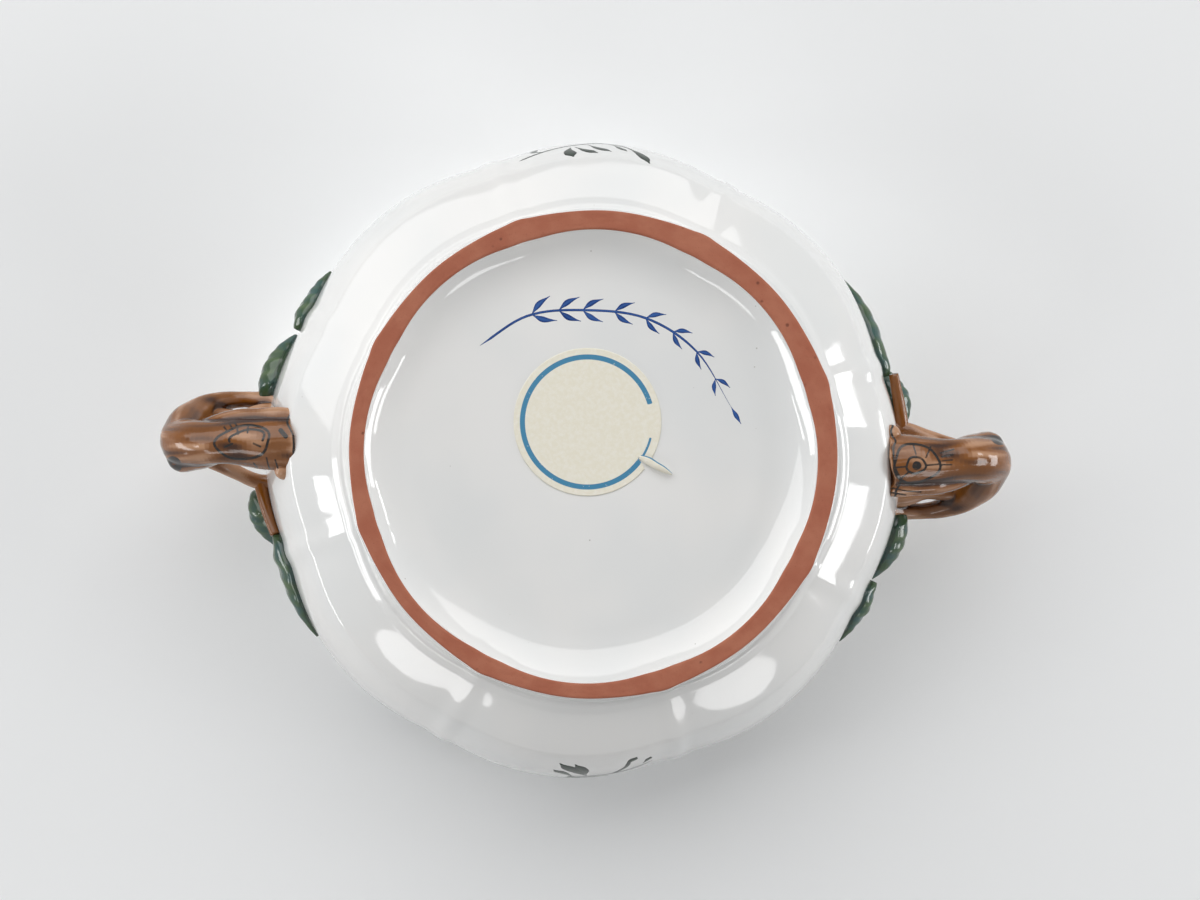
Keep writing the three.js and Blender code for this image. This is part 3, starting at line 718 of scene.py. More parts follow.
def bowl_profile():
    base_edge = (BASE_FLAT_RADIUS, BASE_RECESS)
    roll_in = [(foot_inner_radius + out, height) for out, height in GLAZE_ROLL_IN]
    seat_in = (foot_inner_radius + CLAY_SEAT_INSET, CLAY_SEAT)
    seat_out = (FOOT_RADIUS - CLAY_SEAT_INSET, CLAY_SEAT)
    roll_out = [(FOOT_RADIUS + out, height) for out, height in GLAZE_ROLL_OUT]
    side = [(FOOT_RADIUS + out, height) for out, height in FOOT_SIDE]
    lip = (
        (RIM_RADIUS, BOWL_HEIGHT - RIM_ROUND), (RIM_RADIUS, BOWL_HEIGHT),
        (mouth_radius, BOWL_HEIGHT), (mouth_radius, BOWL_HEIGHT - RIM_ROUND),
    )
    return chain(
        curve(FLAT_STEPS, (0, BASE_RECESS), base_edge),
        curve(2 * CURVE_STEPS, base_edge, (foot_inner_top, BASE_RECESS), roll_in[0]),
        curve(ROUND_STEPS, *roll_in),
        curve(2, roll_in[2], seat_in),
        curve(4, seat_in, seat_out),
        curve(2, seat_out, roll_out[0]),
        curve(ROUND_STEPS, *roll_out),
        curve(4, roll_out[2], side[0]),
        curve(ROUND_STEPS, *side[:3]),
        curve(ROUND_STEPS, side[2], side[3], outer_points[FLANK_JOIN]),
        outer_points[FLANK_JOIN:],
        rounded(lip, RIM_ROUND, (0, 3, 0)),
        inner_points,
        curve(FLAT_STEPS, (FLOOR_RADIUS, floor_height), (0, floor_height)),
    )


def add_bowl():
    profile = bowl_profile()
    rings = profile[1:-1]
    near_clay = np.exp(-((rings[:, 1] - FOOT_EDGE) / GLAZE_EDGE_REACH) ** 2)
    near_clay = near_clay * (np.abs(rings[:, 0] - FOOT_RADIUS + FOOT_BAND / 2) < FOOT_BAND)
    wiped = GLAZE_EDGE_WANDER * near_clay[:, None] * edge_wander()[None, :]
    points, faces = revolve(profile, wiped + foot_shift(rings))
    add_piece("bowl_glaze", points, faces, GLAZE, "bowl", ["bowl_body"])


def add_clay_band():
    inner, outer = foot_inner_radius + CLAY_INSETS[0], FOOT_RADIUS - CLAY_INSETS[1]
    seat_in, seat_out = (inner + CLAY_TAPER, CLAY_SEAT), (outer - CLAY_TAPER, CLAY_SEAT)
    section = chain(
        curve(10, (inner + FOOT_EDGE, 0), (outer - FOOT_EDGE, 0)),
        curve(ROUND_STEPS, (outer - FOOT_EDGE, 0), (outer, 0), (outer, FOOT_EDGE)),
        curve(3, (outer, FOOT_EDGE), seat_out),
        curve(4, seat_out, seat_in),
        curve(3, seat_in, (inner, FOOT_EDGE)),
        curve(ROUND_STEPS, (inner, FOOT_EDGE), (inner, 0), (inner + FOOT_EDGE, 0)),
    )[:-1]
    points, faces = revolve(section, foot_shift(section))
    rough = noise_at(points * CLAY_ROUGH_SCALE)
    worn = (points[:, 2] < CLAY_WORN_BELOW) * smoothstep(rough, *CLAY_WORN_WHERE)
    points[:, 2] += CLAY_WEAR * (1 + rough) * worn
    add_piece("foot_clay", points, faces, CLAY, "bowl", ["foot_ring"])


# Label on the base

TEAR_ANGLE = 35 * DEGREE
TEAR_HALF_ANGLE = 4 * DEGREE
TEAR_DEPTH = 3.4
BARE_ARC = (-16 * DEGREE, 14 * DEGREE)
WORN_ARC = (14 * DEGREE, 34 * DEGREE)
WORN_RING_SHARE = 0.45
CURL_THICKNESS = 0.16
CURL_INK = (-0.4, 0.2, 9, 9, -0.4)

# Places along the curled strip, each with a half width
CURL = (
    (12.6, 0.2, 5.74, 0.5), (14.6, 1.2, 5.3, 1), (16.6, 2.4, 4.8, 0.9), (18.6, 3.5, 4.6, 0.75),
    (20.6, 4.7, 4.9, 0.3),
)


def label_ink(points):
    """How far each point lies from the printed ring: bare along one arc and worn thin along the next."""
    flat = points[:, :2] - LABEL_CENTRE
    radius = np.hypot(*flat.T)
    angle = np.arctan2(flat[:, 1], flat[:, 0])
    worn = (angle > WORN_ARC[0]) & (angle < WORN_ARC[1])
    half = 0.5 * LABEL_RING_WIDTH * np.where(worn, WORN_RING_SHARE, 1)
    ring = np.abs(radius - LABEL_RING_RADIUS) - half
    gap = np.minimum(angle - BARE_ARC[0], BARE_ARC[1] - angle) * LABEL_RING_RADIUS
    return np.maximum(ring, gap)


def add_label():
    angles = round_angles(LABEL_SIDES)
    shares = np.linspace(0, 1, LABEL_RINGS + 1)[1:, None]
    away = (angles - TEAR_ANGLE + math.pi) % (2 * math.pi) - math.pi
    edge = LABEL_RADIUS - TEAR_DEPTH * np.clip(1 - np.abs(away) / TEAR_HALF_ANGLE, 0, 1)
    x = LABEL_CENTRE[0] + shares * edge * np.cos(angles)
    y = LABEL_CENTRE[1] + shares * edge * np.sin(angles)
    top = on_base(x, y, LABEL_THICKNESS)
    back = on_base(x[-1:], y[-1:], -LABEL_SINK)
    points, faces = loft(np.vstack([top, back]))
    ink = {"ink": label_ink(points)}
    add_piece("label", points, faces, LABEL, "bowl", ["base_label"], ink)


def add_label_curl():
    """The strip of paper that has come away and stands up from the base."""
    run = through(CURL, STROKE_STEPS)
    path, half = run[:, :3], run[:, 3]
    tangent = directions(path[:, :2])
    aside = np.stack([-tangent[:, 1], tangent[:, 0], 0 * half], -1) * half[:, None]
    thick = np.array((0, 0, CURL_THICKNESS))
    sides = (path - aside, path - 0.5 * aside, path + aside, path + aside + thick, path - aside + thick)
    points, faces = loft(np.stack(sides, 1))
    ink = np.tile(CURL_INK, len(path))
    add_piece("label_curl", points, faces, LABEL, "bowl", attributes={"ink": ink})


# Strokes of brush colour: low closed mounds along a path on a surface

MARK_SECTION = ((-1, -0.03), (-0.7, 0.03), (0, 0.045), (0.7, 0.03), (1, -0.03), (0.6, -0.1), (-0.6, -0.1))
POINT_SHARE = 0.12
STEM_TIPS = (0.05, 0.3)
LEAF_TIPS = (0.45, 0.55)
DROOP_TIPS = (0.7, 0.25)
LEAF_BEND = 18 * DEGREE
FIRST_PAIR = 0.22
PAIR_SPREAD = 0.68
LEAF_SHORTENING = 0.45
LEAF_NARROWING = 0.35
TIP_LEAF_SHARES = (0.6, 0.7)


def brush_mark(surface, path, width, tips):
    """One stroke: a smooth path in the surface's own two measures, pointed at its ends."""
    path = through(path, STROKE_STEPS)
    along = np.linspace(0, 1, len(path))
    ends = smoothstep(along, 0, tips[0]) * smoothstep(1 - along, 0, tips[1])
    half = 0.5 * width * (POINT_SHARE + (1 - POINT_SHARE) * ends)
    tangent = directions(path)
    aside = np.stack([-tangent[:, 1], tangent[:, 0]], -1)
    rings = np.empty((len(path), len(MARK_SECTION), 3))
    for index, (side, lift) in enumerate(MARK_SECTION):
        place = path + aside * (side * half)[:, None]
        rings[:, index] = surface(place[:, 0], place[:, 1], lift)
    points, faces = loft(rings)
    edge = np.tile([abs(side) for side, _ in MARK_SECTION], len(path))
    return points, faces, edge


def add_marks(name, marks, material, body):
    points, faces = join([mark[:2] for mark in marks])
    edge = np.concatenate([mark[2] for mark in marks])
    add_piece(name, points, faces, material, body, attributes={"edge": edge})


def on_wall(middle_angle):
    """The wall as a surface measured along the lobe from a middle angle, and up."""
    def surface(x, y, lift):
        return wall_point(middle_angle + x / wall_radius(y), y, lift)
    return surface


def on_base(x, y, lift):
    return np.stack([x, y, BASE_RECESS - lift + 0 * x], -1)


def on_dome(x, y, lift):
    return np.stack([x, y, lid_height(x, y) + lift], -1)


def sprig_marks(surface, stem, leaf_length, leaf_width, stem_width, lean, pairs):
    """A stem with leaves in pairs that get smaller towards its tip, and a last leaf at the tip."""
    marks = [brush_mark(surface, stem, stem_width, STEM_TIPS)]
    path = through(stem, 12)
    for number in range(pairs):
        share = FIRST_PAIR + PAIR_SPREAD * number / (pairs - 1)
        spot = int(share * (len(path) - 1))
        root = path[spot]
        ahead = path[min(spot + 1, len(path) - 1)] - path[spot - 1]
        heading = math.atan2(ahead[1], ahead[0])
        half = 0.5 * leaf_length * (1 - LEAF_SHORTENING * share)
        width = leaf_width * (1 - LEAF_NARROWING * share)
        for side in (-1, 1):
            turn = heading + side * lean
            bend = turn - side * LEAF_BEND
            middle = root + half * unit(turn)
            tip = middle + half * unit(bend)
            marks.append(brush_mark(surface, (root, middle, tip), width, LEAF_TIPS))
    last = path[-1] - path[-3]
    last = last / np.linalg.norm(last) * leaf_length * TIP_LEAF_SHARES[0]
    tip_leaf = (path[-1] - 0.1 * last, path[-1] + 0.5 * last, path[-1] + last)
    marks.append(brush_mark(surface, tip_leaf, leaf_width * TIP_LEAF_SHARES[1], LEAF_TIPS))
    return marks


# Sprigs on the wall, measured along the lobe and up: stems, and drooping leaves with their widths
WALL_STEM_WIDTH = 1.5
BACK_STEMS = (((-18, 20), (-9, 24.5), (0, 29), (5, 36)), ((3, 33), (8, 29), (12, 23)))
BACK_LEAVES = (
    ((-4.2, 23), (-4.8, 18.5), (-3.8, 13.8), 3.8),
    ((-3, 23), (-0.6, 18.4), (2.6, 15.6), 2.8),
    ((0.6, 26), (2.8, 20.6), (6.2, 17.4), 2.8),
    ((7.2, 28), (8.6, 23), (10.4, 19.4), 2.2),
    ((10.8, 24.5), (13.6, 19), (15.8, 13), 3.4),
    ((-12, 23.5), (-14, 27), (-13, 32), 2.4),
)
FRONT_STEMS = (((4, 34), (-4, 35), (-12, 32), (-18, 26)), ((-8, 33), (-10.5, 26), (-11.5, 19)))
FRONT_LEAVES = (
    ((-0.6, 33), (2.4, 25), (7.2, 17.4), 4.6),
    ((-0.4, 30), (0.4, 24), (3.2, 17.6), 3.4),
    ((3, 34), (5.6, 28), (8.6, 24), 3.6),
    ((-10.4, 22.5), (-11.6, 19.8), (-13, 17.6), 3),
    ((-15.4, 26), (-16.4, 23.4), (-17, 20.8), 2.2),
)

# Sprigs in pairs of leaves: stem, length and width of a leaf, width of the stem, lean and number of pairs
RISING_SPRIG = (((4.5, 34.5), (1, 42), (4, 50), (-2, 58)), 11, 4.2, 0.8, 50 * DEGREE, 3)
BASE_SPRIG = (
    ((-28, -28), (-16, -35.5), (-2, -37), (14, -35), (27, -26.5), (36, -12)),
    7.5, 1.9, 0.75, 38 * DEGREE, 8,
)
LID_SPRIG = (((-13, 44), (-4, 49), (6, 52), (15, 60)), 10, 3.8, 0.8, 50 * DEGREE, 4)


def wall_sprig(surface, stems, leaves):
    marks = [brush_mark(surface, stem, WALL_STEM_WIDTH, STEM_TIPS) for stem in stems]
    marks += [brush_mark(surface, leaf[:3], leaf[3], DROOP_TIPS) for leaf in leaves]
    return marks + sprig_marks(surface, *RISING_SPRIG)


def add_painted_sprigs():
    back = wall_sprig(on_wall(-90 * DEGREE), BACK_STEMS, BACK_LEAVES)
    add_marks("painted_sprig_back", back, GREEN_PAINT, "bowl")
    front = wall_sprig(on_wall(90 * DEGREE), FRONT_STEMS, FRONT_LEAVES)
    add_marks("painted_sprig_front", front, GREEN_PAINT, "bowl")
    add_marks("painted_base_sprig", sprig_marks(on_base, *BASE_SPRIG), BLUE_PAINT, "bowl")


# Limbs of the handles and the knob

def limb_line(joints):
    """Points, radii and cross directions along a limb's middle line."""
    run = through(joints, LIMB_STEPS)
    path, radius = run[:, :3], run[:, 3]
    tangent = directions(path)
    across = np.empty_like(path)
    last = np.array((0.0, 0.0, 1.0)) if abs(tangent[0][2]) < 0.9 else np.array((1.0, 0.0, 0.0))
    for index, direction in enumerate(tangent):
        last = last - direction * last.dot(direction)
        last = last / np.linalg.norm(last)
        across[index] = last
    return path, radius, across, np.cross(tangent, across)


def limb(joints):
    path, radius, across, third = limb_line(joints)
    angles = round_angles(LIMB_SIDES)
    rings = path[:, None] + radius[:, None, None] * (
        np.cos(angles)[None, :, None] * across[:, None] + np.sin(angles)[None, :, None] * third[:, None]
    )
    return loft(rings)


def ball(centre, radius):
    """A knot's swelling, as rings from pole to pole."""
    polar = np.linspace(0.05, math.pi - 0.05, BALL_RINGS)
    around = round_angles(BALL_SIDES)
    rings = np.stack([
        np.sin(polar)[:, None] * np.cos(around), np.sin(polar)[:, None] * np.sin(around),
        np.cos(polar)[:, None] + 0 * around,
    ], -1)
    return loft((np.array(centre) + radius * rings)[::-1])


def fuse(meshes):
    """One skin round meshes that run into each other, with its corners eased."""
    points, faces = join(meshes)
    mesh = bpy.data.meshes.new("fusing")
    mesh.from_pydata(points.tolist(), [], faces)
    lump = add_object("fusing", mesh)
    remesh = lump.modifiers.new("skin", "REMESH")
    remesh.mode = "VOXEL"
    remesh.voxel_size = BARK_VOXEL
    skin = lump.evaluated_get(bpy.context.evaluated_depsgraph_get()).to_mesh()
    points = np.empty(3 * len(skin.vertices))
    skin.vertices.foreach_get("co", points)
    edges = np.empty(2 * len(skin.edges), np.int64)
    skin.edges.foreach_get("vertices", edges)
    faces = [tuple(face.vertices) for face in skin.polygons]
    bpy.data.objects.remove(lump)
    bpy.data.meshes.remove(mesh)
    return relax(points.reshape(-1, 3), edges.reshape(-1, 2), BARK_ROUNDS), faces, edges.reshape(-1, 2)


def relax(points, edges, rounds):
    """Each point drawn halfway to the middle of its neighbours, some number of times."""
    count = np.bincount(edges.ravel(), minlength=len(points))[:, None]
    for _ in range(rounds):
        total = np.zeros_like(points)
        np.add.at(total, edges[:, 0], points[edges[:, 1]])
        np.add.at(total, edges[:, 1], points[edges[:, 0]])
        points = 0.5 * points + 0.5 * total / count
    return points


def point_normals(points, faces):
    corners = points[np.array(faces)]
    flat = np.cross(corners[:, 2] - corners[:, 0], corners[:, 3] - corners[:, 1])
    normals = np.zeros_like(points)
    for column in range(4):
        np.add.at(normals, np.array(faces)[:, column], flat)
    return normals / np.linalg.norm(normals, axis=1, keepdims=True)


GRAIN_APART = 40
GRAIN_SQUEEZE = 0.22
BATCH = 4000


def grain_of(points, limbs):
    """For each point, the distance along the nearest limb, squeezed, and its place across that limb."""
    lines = [limb_line(joints) for joints in limbs]
    path, radius, across, third = (np.concatenate(parts) for parts in zip(*lines))
    along = []
    for number, run in enumerate(lines):
        spans = np.linalg.norm(np.diff(run[0], axis=0), axis=1)
        along.append(GRAIN_APART * number + np.concatenate([[0], np.cumsum(spans)]))
    along = np.concatenate(along)
    nearest = np.empty(len(points), np.int64)
    for first in range(0, len(points), BATCH):
        part = points[first:first + BATCH]
        away = np.linalg.norm(part[:, None] - path[None], axis=2) / radius[None]
        nearest[first:first + BATCH] = away.argmin(1)
    offset = points - path[nearest]
    over, beside = ((offset * way[nearest]).sum(1) for way in (across, third))
    return np.stack([GRAIN_SQUEEZE * along[nearest], over, beside], -1)


# How deep a point lies in a hollow, which the bark glaze darkens as pooled glaze and painted shade
POOL_AND_SHADE_ROUNDS = 70
POOL_AND_SHADE_DEPTH = 0.45
LUMP_SCALE = 0.13
RIDGE_SCALE = 0.45
RIDGE_SHARE = 0.25
LUMP_SHARE = 0.4


def gnarl(points, faces, edges, grain):
    """Modelled bark: broad lumps and faint long ridges. Also returns how far each point lies in a hollow,
    from -1 on what stands out to 1 where limbs meet."""
    normals = point_normals(points, faces)
    sunk = ((relax(points, edges, POOL_AND_SHADE_ROUNDS) - points) * normals).sum(1)
    sunk = (sunk - np.median(sunk)) / POOL_AND_SHADE_DEPTH
    lumps = noise_at(points * LUMP_SCALE)
    ridges = noise_at(grain * RIDGE_SCALE)
    height = BARK_DEPTH * (lumps + RIDGE_SHARE * ridges)
    return points + normals * height[:, None], np.clip(sunk - ridges - LUMP_SHARE * lumps, -1, 1), normals


def path_distance(points, path):
    """Distance from each point to the nearest of a path's straight spans."""
    path = np.array(path, float)
    nearest = np.full(len(points), 1e9)
    for start, end in zip(path, path[1:]):
        run = end - start
        share = np.clip(((points - start) @ run) / max(run @ run, 1e-9), 0, 1)
        nearest = np.minimum(nearest, np.linalg.norm(points - start - share[:, None] * run, axis=1))
    return nearest


def oval(centre, out_half, side_half, turn=0.0, end=2 * math.pi):
    angles = np.linspace(0, end, OVAL_STEPS)
    shaky = 1 + 0.05 * np.sin(3 * angles + 1) + 0.03 * np.sin(5 * angles)
    flat = np.stack([out_half * shaky * np.cos(angles), side_half * shaky * np.sin(angles)], -1)
    c, s = unit(turn)
    return flat @ np.array(((c, s), (-s, c))) + np.array(centre)


# Lines drawn under the handles: a half width, and the paths of that width, out from and beside the wall.
# They show on what faces down, and where nothing is drawn the ink is far off.
DRAWN_FACING = -0.15
STUMP_LINE_HALF = 0.3
NO_INK = 9.0
DRAWN_LINES = {
    "right": (
        (0.34, oval((-3.2, 1.8), 6, 5.1)),
        (0.3, oval((-3.4, 2.2), 2.5, 2.1)),
        (0.7, oval((-3.2, 2.3), 0.5, 0.45), oval((21.2, -4.8), 1.6, 0.7)),
        (
            0.22, ((-3.8, -3.4), (-3.4, -0.6)), ((0.8, -2.6), (-0.8, 0.2)), ((2.6, 1.9), (-0.6, 2.2)),
            ((-9, 2.8), (-6.1, 2.6)), ((-7, 5.6), (-5.2, 3.9)),
        ),
        (
            0.2, ((3.2, -1), (7, -2)), ((3.5, 0), (6.6, -0.6)), ((3.6, 1), (6.4, 0.8)),
            ((3.4, 2), (6.2, 2)), ((-9, 8), (-5, 8.8), (-1, 9)), ((-9, 9.2), (-5, 9.8)),
        ),
    ),
    "left": (
        (0.34, oval((1.6, 3.8), 7.2, 4.3, -8 * DEGREE)),
        (0.32, oval((0.4, 4.6), 4.6, 2.4, -8 * DEGREE, 3.6)),
        (0.26, ((-3, 2.6), (-1.2, 3.4))),
        (0.24, ((0.4, 7.8), (0.4, 6.2)), ((3.2, 7.2), (2.8, 5.8)), ((6.4, 2.6), (4.4, 3.4))),
        (
            0.22, ((4.2, 9), (3, 7.6)), ((5.4, 8.6), (4.4, 7.2)), ((6.8, 7.8), (5.8, 6.6)),
            ((-4.8, -4), (-4.4, -0.2)), ((-7, -2.8), (-6.6, -0.8)), ((-1.8, -3.2), (-0.8, -1.6)),
        ),
        (0.6, ((-9.6, 5.2), (-8.2, 6.8))),
        (0.8, oval((21.8, -1.4), 1.7, 1.1)),
    ),
}


def ragged_end(points, stump_end):
    """The stump's broken end: how far out from the wall it breaks off, place by place."""
    steps = noise_at(points[:, [1, 2, 0]] * STUMP_RAGGED_SCALES + (0, 0, 4.7))
    return stump_end + STUMP_RAGGED * steps


def handle_mesh(lines, lean, stump_end):
    """One branch handle at the wall, leaning round it, with its drawn lines."""
    limbs = (MAIN_LIMB, INNER_TWIG, BARK_TWIG, BRIDGE_TWIG)
    lumps = [limb(KNOT_LIMB)] + [ball(lump[:3], lump[3]) for lump in (KNOT_LIMB[-1], BARK_LUMP)]
    points, faces, edges = fuse([limb(joints) for joints in limbs] + lumps)
    grain = grain_of(points, limbs)
    points, hollow, normals = gnarl(points, faces, edges, grain)
    low = points[:, 2] < STUMP_TOP
    end = ragged_end(points, stump_end)
    cut = np.maximum(points[:, 0], end + STUMP_SQUEEZE * (points[:, 0] - end))
    points[:, 0] = np.where(low, cut, points[:, 0])
    ink = np.abs(points[:, 0] - end - STUMP_LINE_HALF) - STUMP_LINE_HALF
    root = np.array((wall_radius(HANDLE_HEIGHT), 0, HANDLE_HEIGHT))
    points = turned(points + root, lean)
    for half_width, *paths in lines:
        for path in paths:
            ink = np.minimum(ink, path_distance((points - root)[:, :2], path) - half_width)
    ink = np.where((normals[:, 2] < DRAWN_FACING) & low, ink, NO_INK)
    return seated(points), faces, {"grain": grain, "hollow": hollow, "ink": ink}


def turned(points, angle):
    c, s = unit(angle)
    return points @ np.array(((c, s, 0), (-s, c, 0), (0, 0, 1)))


def seated(points):
    """Points that run too deep into the wall, drawn back out."""
    plan = np.hypot(points[:, 0], points[:, 1])
    angle = np.arctan2(points[:, 1], points[:, 0])
    least = lobed_radius(wall_radius(points[:, 2]), angle) - WALL_BITE
    grow = np.where(plan < least, least / plan, 1)
    return points * np.stack([grow, grow, np.ones_like(grow)], -1)


def add_modelled(name, mesh, turn, material, body, node):
    points, faces, attributes = mesh
    add_piece(name, turned(points, turn), faces, material, body, [node], attributes)


def add_bark(name, mesh, turn, body, node):
    add_modelled(name, mesh, turn, BARK, body, node)


def add_leaf(name, mesh, turn, body, node):
    add_modelled(name, mesh, turn, LEAF, body, node)


def add_handles():
    for side, turn, lean, stump_end, _ in SIDES:
        mesh = handle_mesh(DRAWN_LINES[side], lean, stump_end)
        add_bark(f"handle_{side}", mesh, turn, "bowl", f"handle_branch_{side}")


# Leaves

def leaf_mesh(surface, length, half_width, relief):
    """A modelled leaf with a midrib, side veins and a waved edge. The surface gives the point at a share of
    the leaf's run, a distance to one side of its middle line and a height over the surface."""
    along = np.linspace(0, 1, LEAF_ROWS + 1)
    across = np.linspace(-1, 1, LEAF_COLUMNS + 1)
    run, side = np.meshgrid(along, across, indexing="ij")
    full = LEAF_TIP + (1 - LEAF_TIP) * np.sin(math.pi * run ** LEAF_POWERS[0]) ** LEAF_POWERS[1]
    wave = 1 + LEAF_WAVE * np.sin(6 * math.pi * run + 2 * side)
    aside = side * half_width * full * wave
    veins = np.cos(2 * math.pi * VEIN_COUNT * (run - VEIN_SLANT * np.abs(aside) / length))
    rib = np.exp(-((aside / MIDRIB_HALF_WIDTH) ** 2))
    ends = LEAF_ROOT_HEIGHT - LEAF_TIP_DROP * run
    crown_height = relief * (ends + (1 - ends) * full) * (1 - LEAF_EDGE_DROP * side ** 4)
    crown_height += full * (VEIN_HEIGHT * veins * (1 - rib) - MIDRIB_DEPTH * rib)
    top = surface(run, aside, np.maximum(crown_height, LEAF_LEAST))
    under = surface(run, aside * LEAF_UNDER_SHARE, 0 * run - LEAF_SINK)
    points, faces = loft(np.concatenate([top, under[:, ::-1]], 1))
    ink = np.minimum(np.abs(aside) - MIDRIB_LINE_HALF, (1 - np.abs(side)) * half_width * full)
    crest = (1 - rib) * (CREST_LEVELS[0] + CREST_LEVELS[1] * veins) * full
    attributes = {
        "ink": np.concatenate([ink, 0 * ink + UNDER_LEAF_INK], 1).ravel(),
        "crest": np.concatenate([crest, 0 * crest], 1).ravel(),
    }
    return points, faces, attributes


def strip_along(surface, start, end):
    """A surface measured along a straight run between two places on it, as a share, and aside from it. Also
    returns the length of the run."""
    start, end = np.array(start, float), np.array(end, float)
    length = np.linalg.norm(end - start)
    run = (end - start) / length

    def strip(share, aside, lift):
        x = start[0] + (end[0] - start[0]) * share - aside * run[1]
        y = start[1] + (end[1] - start[1]) * share + aside * run[0]
        return surface(x, y, lift)

    return strip, length


def along_wall(start, end, lean):
    """A run on the wall between two places, each an angle in degrees and a height."""
    radius = wall_radius((start[1] + end[1]) / 2)
    places = [((angle * DEGREE + lean) * radius, height) for angle, height in (start, end)]
    return strip_along(lambda x, y, lift: wall_point(x / radius, y, lift), *places)


def stem_mesh(lean, lifts):
    """The stem that runs along the wall from the handle to its long leaf."""
    share = np.linspace(0, 1, STEM_JOINTS)
    spans = (*zip(STEM_START, WALL_LEAVES[1][0]), lifts, STEM_RADII)
    angle, height, lift, radius = (first + (last - first) * share for first, last in spans)
    joints = np.column_stack([wall_point(angle * DEGREE + lean, height, lift), radius])
    points, faces = limb(joints)
    plain = np.zeros(len(points))
    return points, faces, {"grain": grain_of(points, (joints,)), "hollow": plain, "ink": plain + NO_INK}


def add_sprays():
    for side, turn, lean, _, lifts in SIDES:
        add_bark(f"spray_stem_{side}", stem_mesh(lean, lifts), turn, "bowl", f"leaf_stem_{side}")
        for number, (start, end, half_width, relief) in enumerate(WALL_LEAVES, 1):
            surface, length = along_wall(start, end, lean)
            mesh = leaf_mesh(surface, length, half_width, relief)
            add_leaf(f"spray_leaf_{side}_{number}", mesh, turn, "bowl", f"leaf_{side}_{number}")


# Lid

def lid_profile():
    flange_bottom = lid_seat - FLANGE_DEPTH
    mouth = np.interp(-flange_bottom, -inner_points[:, 1], inner_points[:, 0])
    flange_radius = mouth - FLANGE_CLEARANCE
    flange_inside = flange_radius - FLANGE_THICKNESS
    shoulder = (LID_SHOULDER_RADIUS - LID_THICKNESS / 2, lid_seat + LID_SHOULDER_RISE - LID_THICKNESS)
    turn = shoulder[0] + HOLLOW_PULL * (flange_inside - shoulder[0])
    flange = (
        (flange_inside, lid_seat), (flange_inside, flange_bottom),
        (flange_radius, flange_bottom), (flange_radius, lid_seat),
    )
    edge = (flange[-1], (lid_radius, lid_seat), (lid_radius, lid_seat + LID_EDGE), dome_points[0])
    return chain(
        crown(*shoulder, lid_top - LID_THICKNESS)[::-1],
        curve(CURVE_STEPS, shoulder, (turn, lid_seat), flange[0]),
        rounded(flange, FLANGE_ROUND, (6, 4, 6)),
        rounded(edge, LID_EDGE_ROUND, (6, 3, 0)),
        dome_points,
    )


def add_lid():
    points, faces = revolve(lid_profile())
    add_piece("lid_glaze", points, faces, GLAZE, "lid", ["lid_shell"])
    for name, way in (("painted_lid_sprig_back", -1), ("painted_lid_sprig_front", 1)):

        def surface(x, y, lift):
            return on_dome(way * x, way * y, lift)

        add_marks(name, sprig_marks(surface, *LID_SPRIG), GREEN_PAINT, "lid")


def add_knob():
    points, faces, edges = fuse([limb(KNOB_ARCH), limb(KNOB_STUB)])
    grain = grain_of(points, (KNOB_ARCH, KNOB_STUB))
    points, hollow, _ = gnarl(points, faces, edges, grain)
    end = np.array(KNOB_STUB[-1][:3])
    ink = np.abs(np.linalg.norm(points - end, axis=1) - KNOB_RING[0]) - KNOB_RING[1]
    attributes = {"grain": grain, "hollow": hollow, "ink": ink}
    add_bark("knob", (points + (0, 0, lid_top), faces, attributes), 0, "lid", "knob_branch")
    for number, (start, finish) in enumerate(KNOB_LEAVES, 1):
        surface, length = strip_along(on_dome, start, finish)
        mesh = leaf_mesh(surface, length, KNOB_LEAF_HALF_WIDTH, KNOB_LEAF_RELIEF)
        add_leaf(f"lid_leaf_{number}", mesh, 0, "lid", f"knob_leaf_{number}")


# Stage, light and camera

TABLE_PALE = (0.88, 0.89, 0.895)
FLOOR_PALE = (0.54, 0.545, 0.55)


def stage_material(name, colour):
    """A pale sheet that shows one face only and fades out with distance."""
    shader = Shader(name)
    pale = shader.add("BsdfDiffuse", 0, {"Color": colour})
    clear = shader.add("BsdfTransparent")
    away = shader.add("VectorMath", "Value", {0: shader.place()}, operation="LENGTH")
    behind = shader.add("NewGeometry", "Backfacing")
    gone = shader.math("MAXIMUM", behind, shader.between(away, *STAGE_FADE))
    mixed = shader.add("MixShader", 0, {0: gone, 1: pale, 2: clear})
    shader.put(shader.nodes["Material Output"].inputs["Surface"], mixed)
    shader.nodes.remove(shader.surface)
    return shader.material


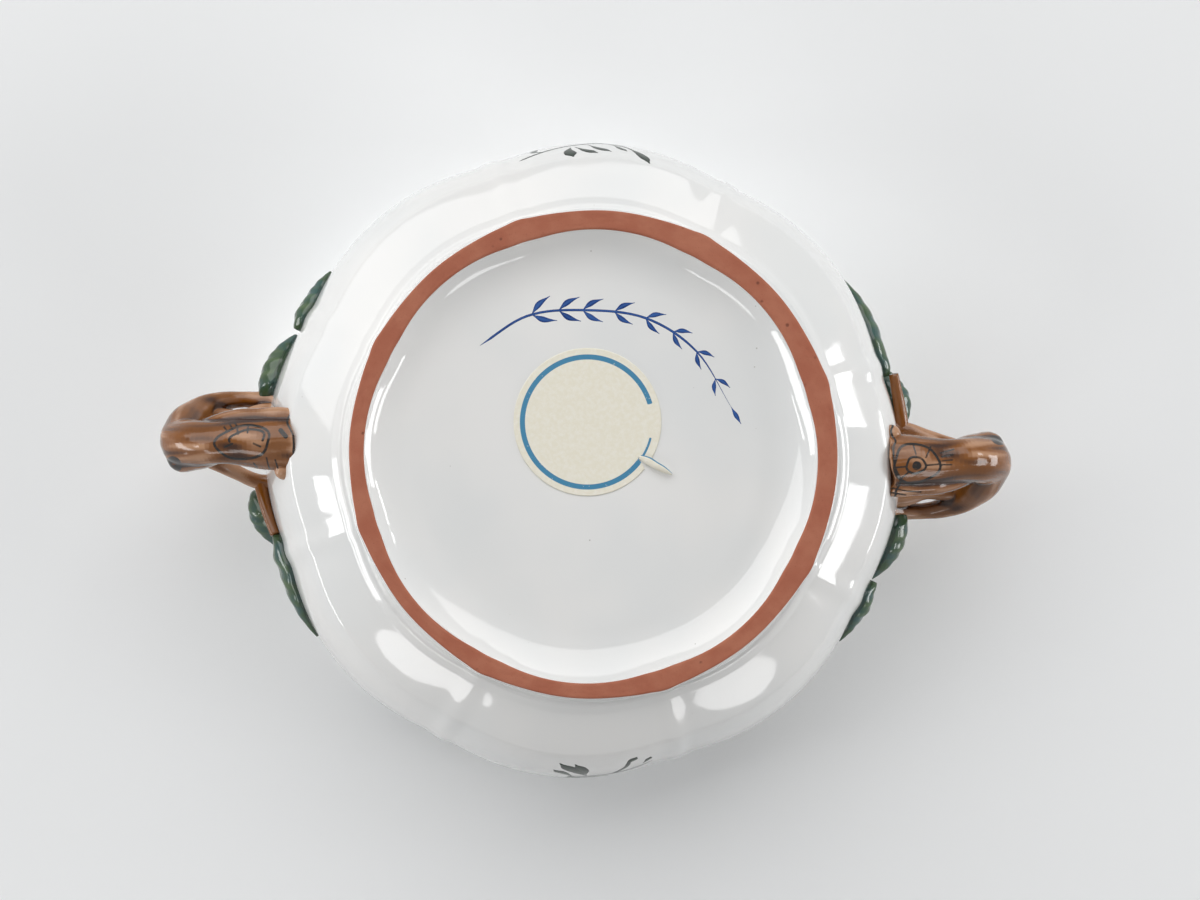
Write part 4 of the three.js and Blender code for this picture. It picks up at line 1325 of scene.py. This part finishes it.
def add_sheet(name, colour, height, facing, reflected):
    """A wide plain sheet that takes shadows and hides no lamp, and may light the glaze and show in it."""
    mesh = bpy.data.meshes.new(name)
    corners = [(-1, -1), (1, -1), (1, 1), (-1, 1)][::facing]
    mesh.from_pydata([(STAGE_REACH * x, STAGE_REACH * y, height) for x, y in corners], [], [(0, 1, 2, 3)])
    mesh.materials.append(stage_material(name, colour))
    sheet = add_object(name, mesh)
    sheet.visible_diffuse = reflected
    sheet.visible_glossy = reflected
    sheet.visible_transmission = False
    sheet.visible_shadow = False
    sheet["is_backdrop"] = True


# Lamps: place, height aimed at on the bowl's axis, width and height in metres, and power in watts
LAMPS = {
    "under_right": ((0.94, 0.242, -0.42), 0.03, 0.37, 0.14, 1.15),
    "under_right_small": ((0.948, -0.273, -0.382), 0.03, 0.18, 0.1, 0.45),
    "under_low_right": ((0.558, 0.786, -0.438), 0.03, 0.4, 0.23, 0.9),
    "under_low_left": ((-0.549, 0.744, -0.506), 0.03, 0.44, 0.19, 0.9),
    "under_left": ((-0.911, 0.159, -0.506), 0.03, 0.16, 0.1, 0.4),
    "under_back": ((-0.36, -0.97, -1.03), 0.03, 3.2, 1.5, 31.0),
    "side_left": ((-1.14, 0.34, -0.14), 0.03, 0.7, 0.3, 4.2),
    "side_right": ((1.18, 0.06, -0.14), 0.03, 0.7, 0.3, 5.0),
    "over_left": ((-0.42, -0.4, 1.5), 0.05, 0.7, 0.6, 7.5),
    "over_right": ((0.55, -0.25, 1.45), 0.05, 0.5, 0.6, 3.8),
    "over_back": ((0.1, 0.45, 1.5), 0.05, 0.9, 0.5, 4.7),
}
ROUND_LAMPS = ("under_low_right", "under_low_left")


def add_lamps():
    for name, (place, aim, width, height, power) in LAMPS.items():
        lamp = bpy.data.lights.new(name, "AREA")
        lamp.shape = "ELLIPSE" if name in ROUND_LAMPS else "RECTANGLE"
        lamp.size, lamp.size_y, lamp.energy = width, height, power
        holder = add_object(name, lamp)
        holder.location = place
        holder.rotation_mode = "QUATERNION"
        holder.rotation_quaternion = (Vector((0, 0, aim)) - Vector(place)).to_track_quat("-Z", "Y")


WORLD_LIGHT = 0.07
WORLD_SHOWN = (0.68, 0.685, 0.69)


def add_world():
    world = bpy.data.worlds.new("pale room")
    world.use_nodes = True
    tree = Nodes(world.node_tree)
    tree.nodes.clear()
    path = tree.nodes.new("ShaderNodeLightPath").outputs
    mirrored = tree.math("MAXIMUM", path["Is Glossy Ray"], path["Is Transmission Ray"])
    seen = tree.math("MAXIMUM", path["Is Camera Ray"], mirrored)
    light = tree.add("Background", 0, {"Color": (1, 1, 1), "Strength": WORLD_LIGHT})
    shown = tree.add("Background", 0, {"Color": WORLD_SHOWN})
    mixed = tree.add("MixShader", 0, {0: seen, 1: light, 2: shown})
    tree.put(tree.nodes.new("ShaderNodeOutputWorld").inputs["Surface"], mixed)
    bpy.context.scene.world = world


def add_camera():
    data = bpy.data.cameras.new("camera")
    data.lens = CAMERA_LENS
    data.clip_start, data.clip_end = CAMERA_CLIP
    data.shift_x, data.shift_y = CAMERA_SHIFT
    camera = add_object("camera", data)
    camera.location = CAMERA_PLACE
    camera.rotation_euler = (math.pi, 0, 0)
    bpy.context.scene.camera = camera


add_camera()
add_bowl()
add_clay_band()
add_label()
add_label_curl()
add_painted_sprigs()
add_handles()
add_sprays()
add_lid()
add_knob()
add_sheet("floor", FLOOR_PALE, 0, 1, False)
add_sheet("table", TABLE_PALE, TABLE_HEIGHT, -1, True)
add_lamps()
add_world()
bpy.context.scene.view_settings.view_transform = "Standard"

boxes = {"cad": cad_box, "visual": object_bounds()}
{key: [list(corner) for corner in box] for key, box in boxes.items()}
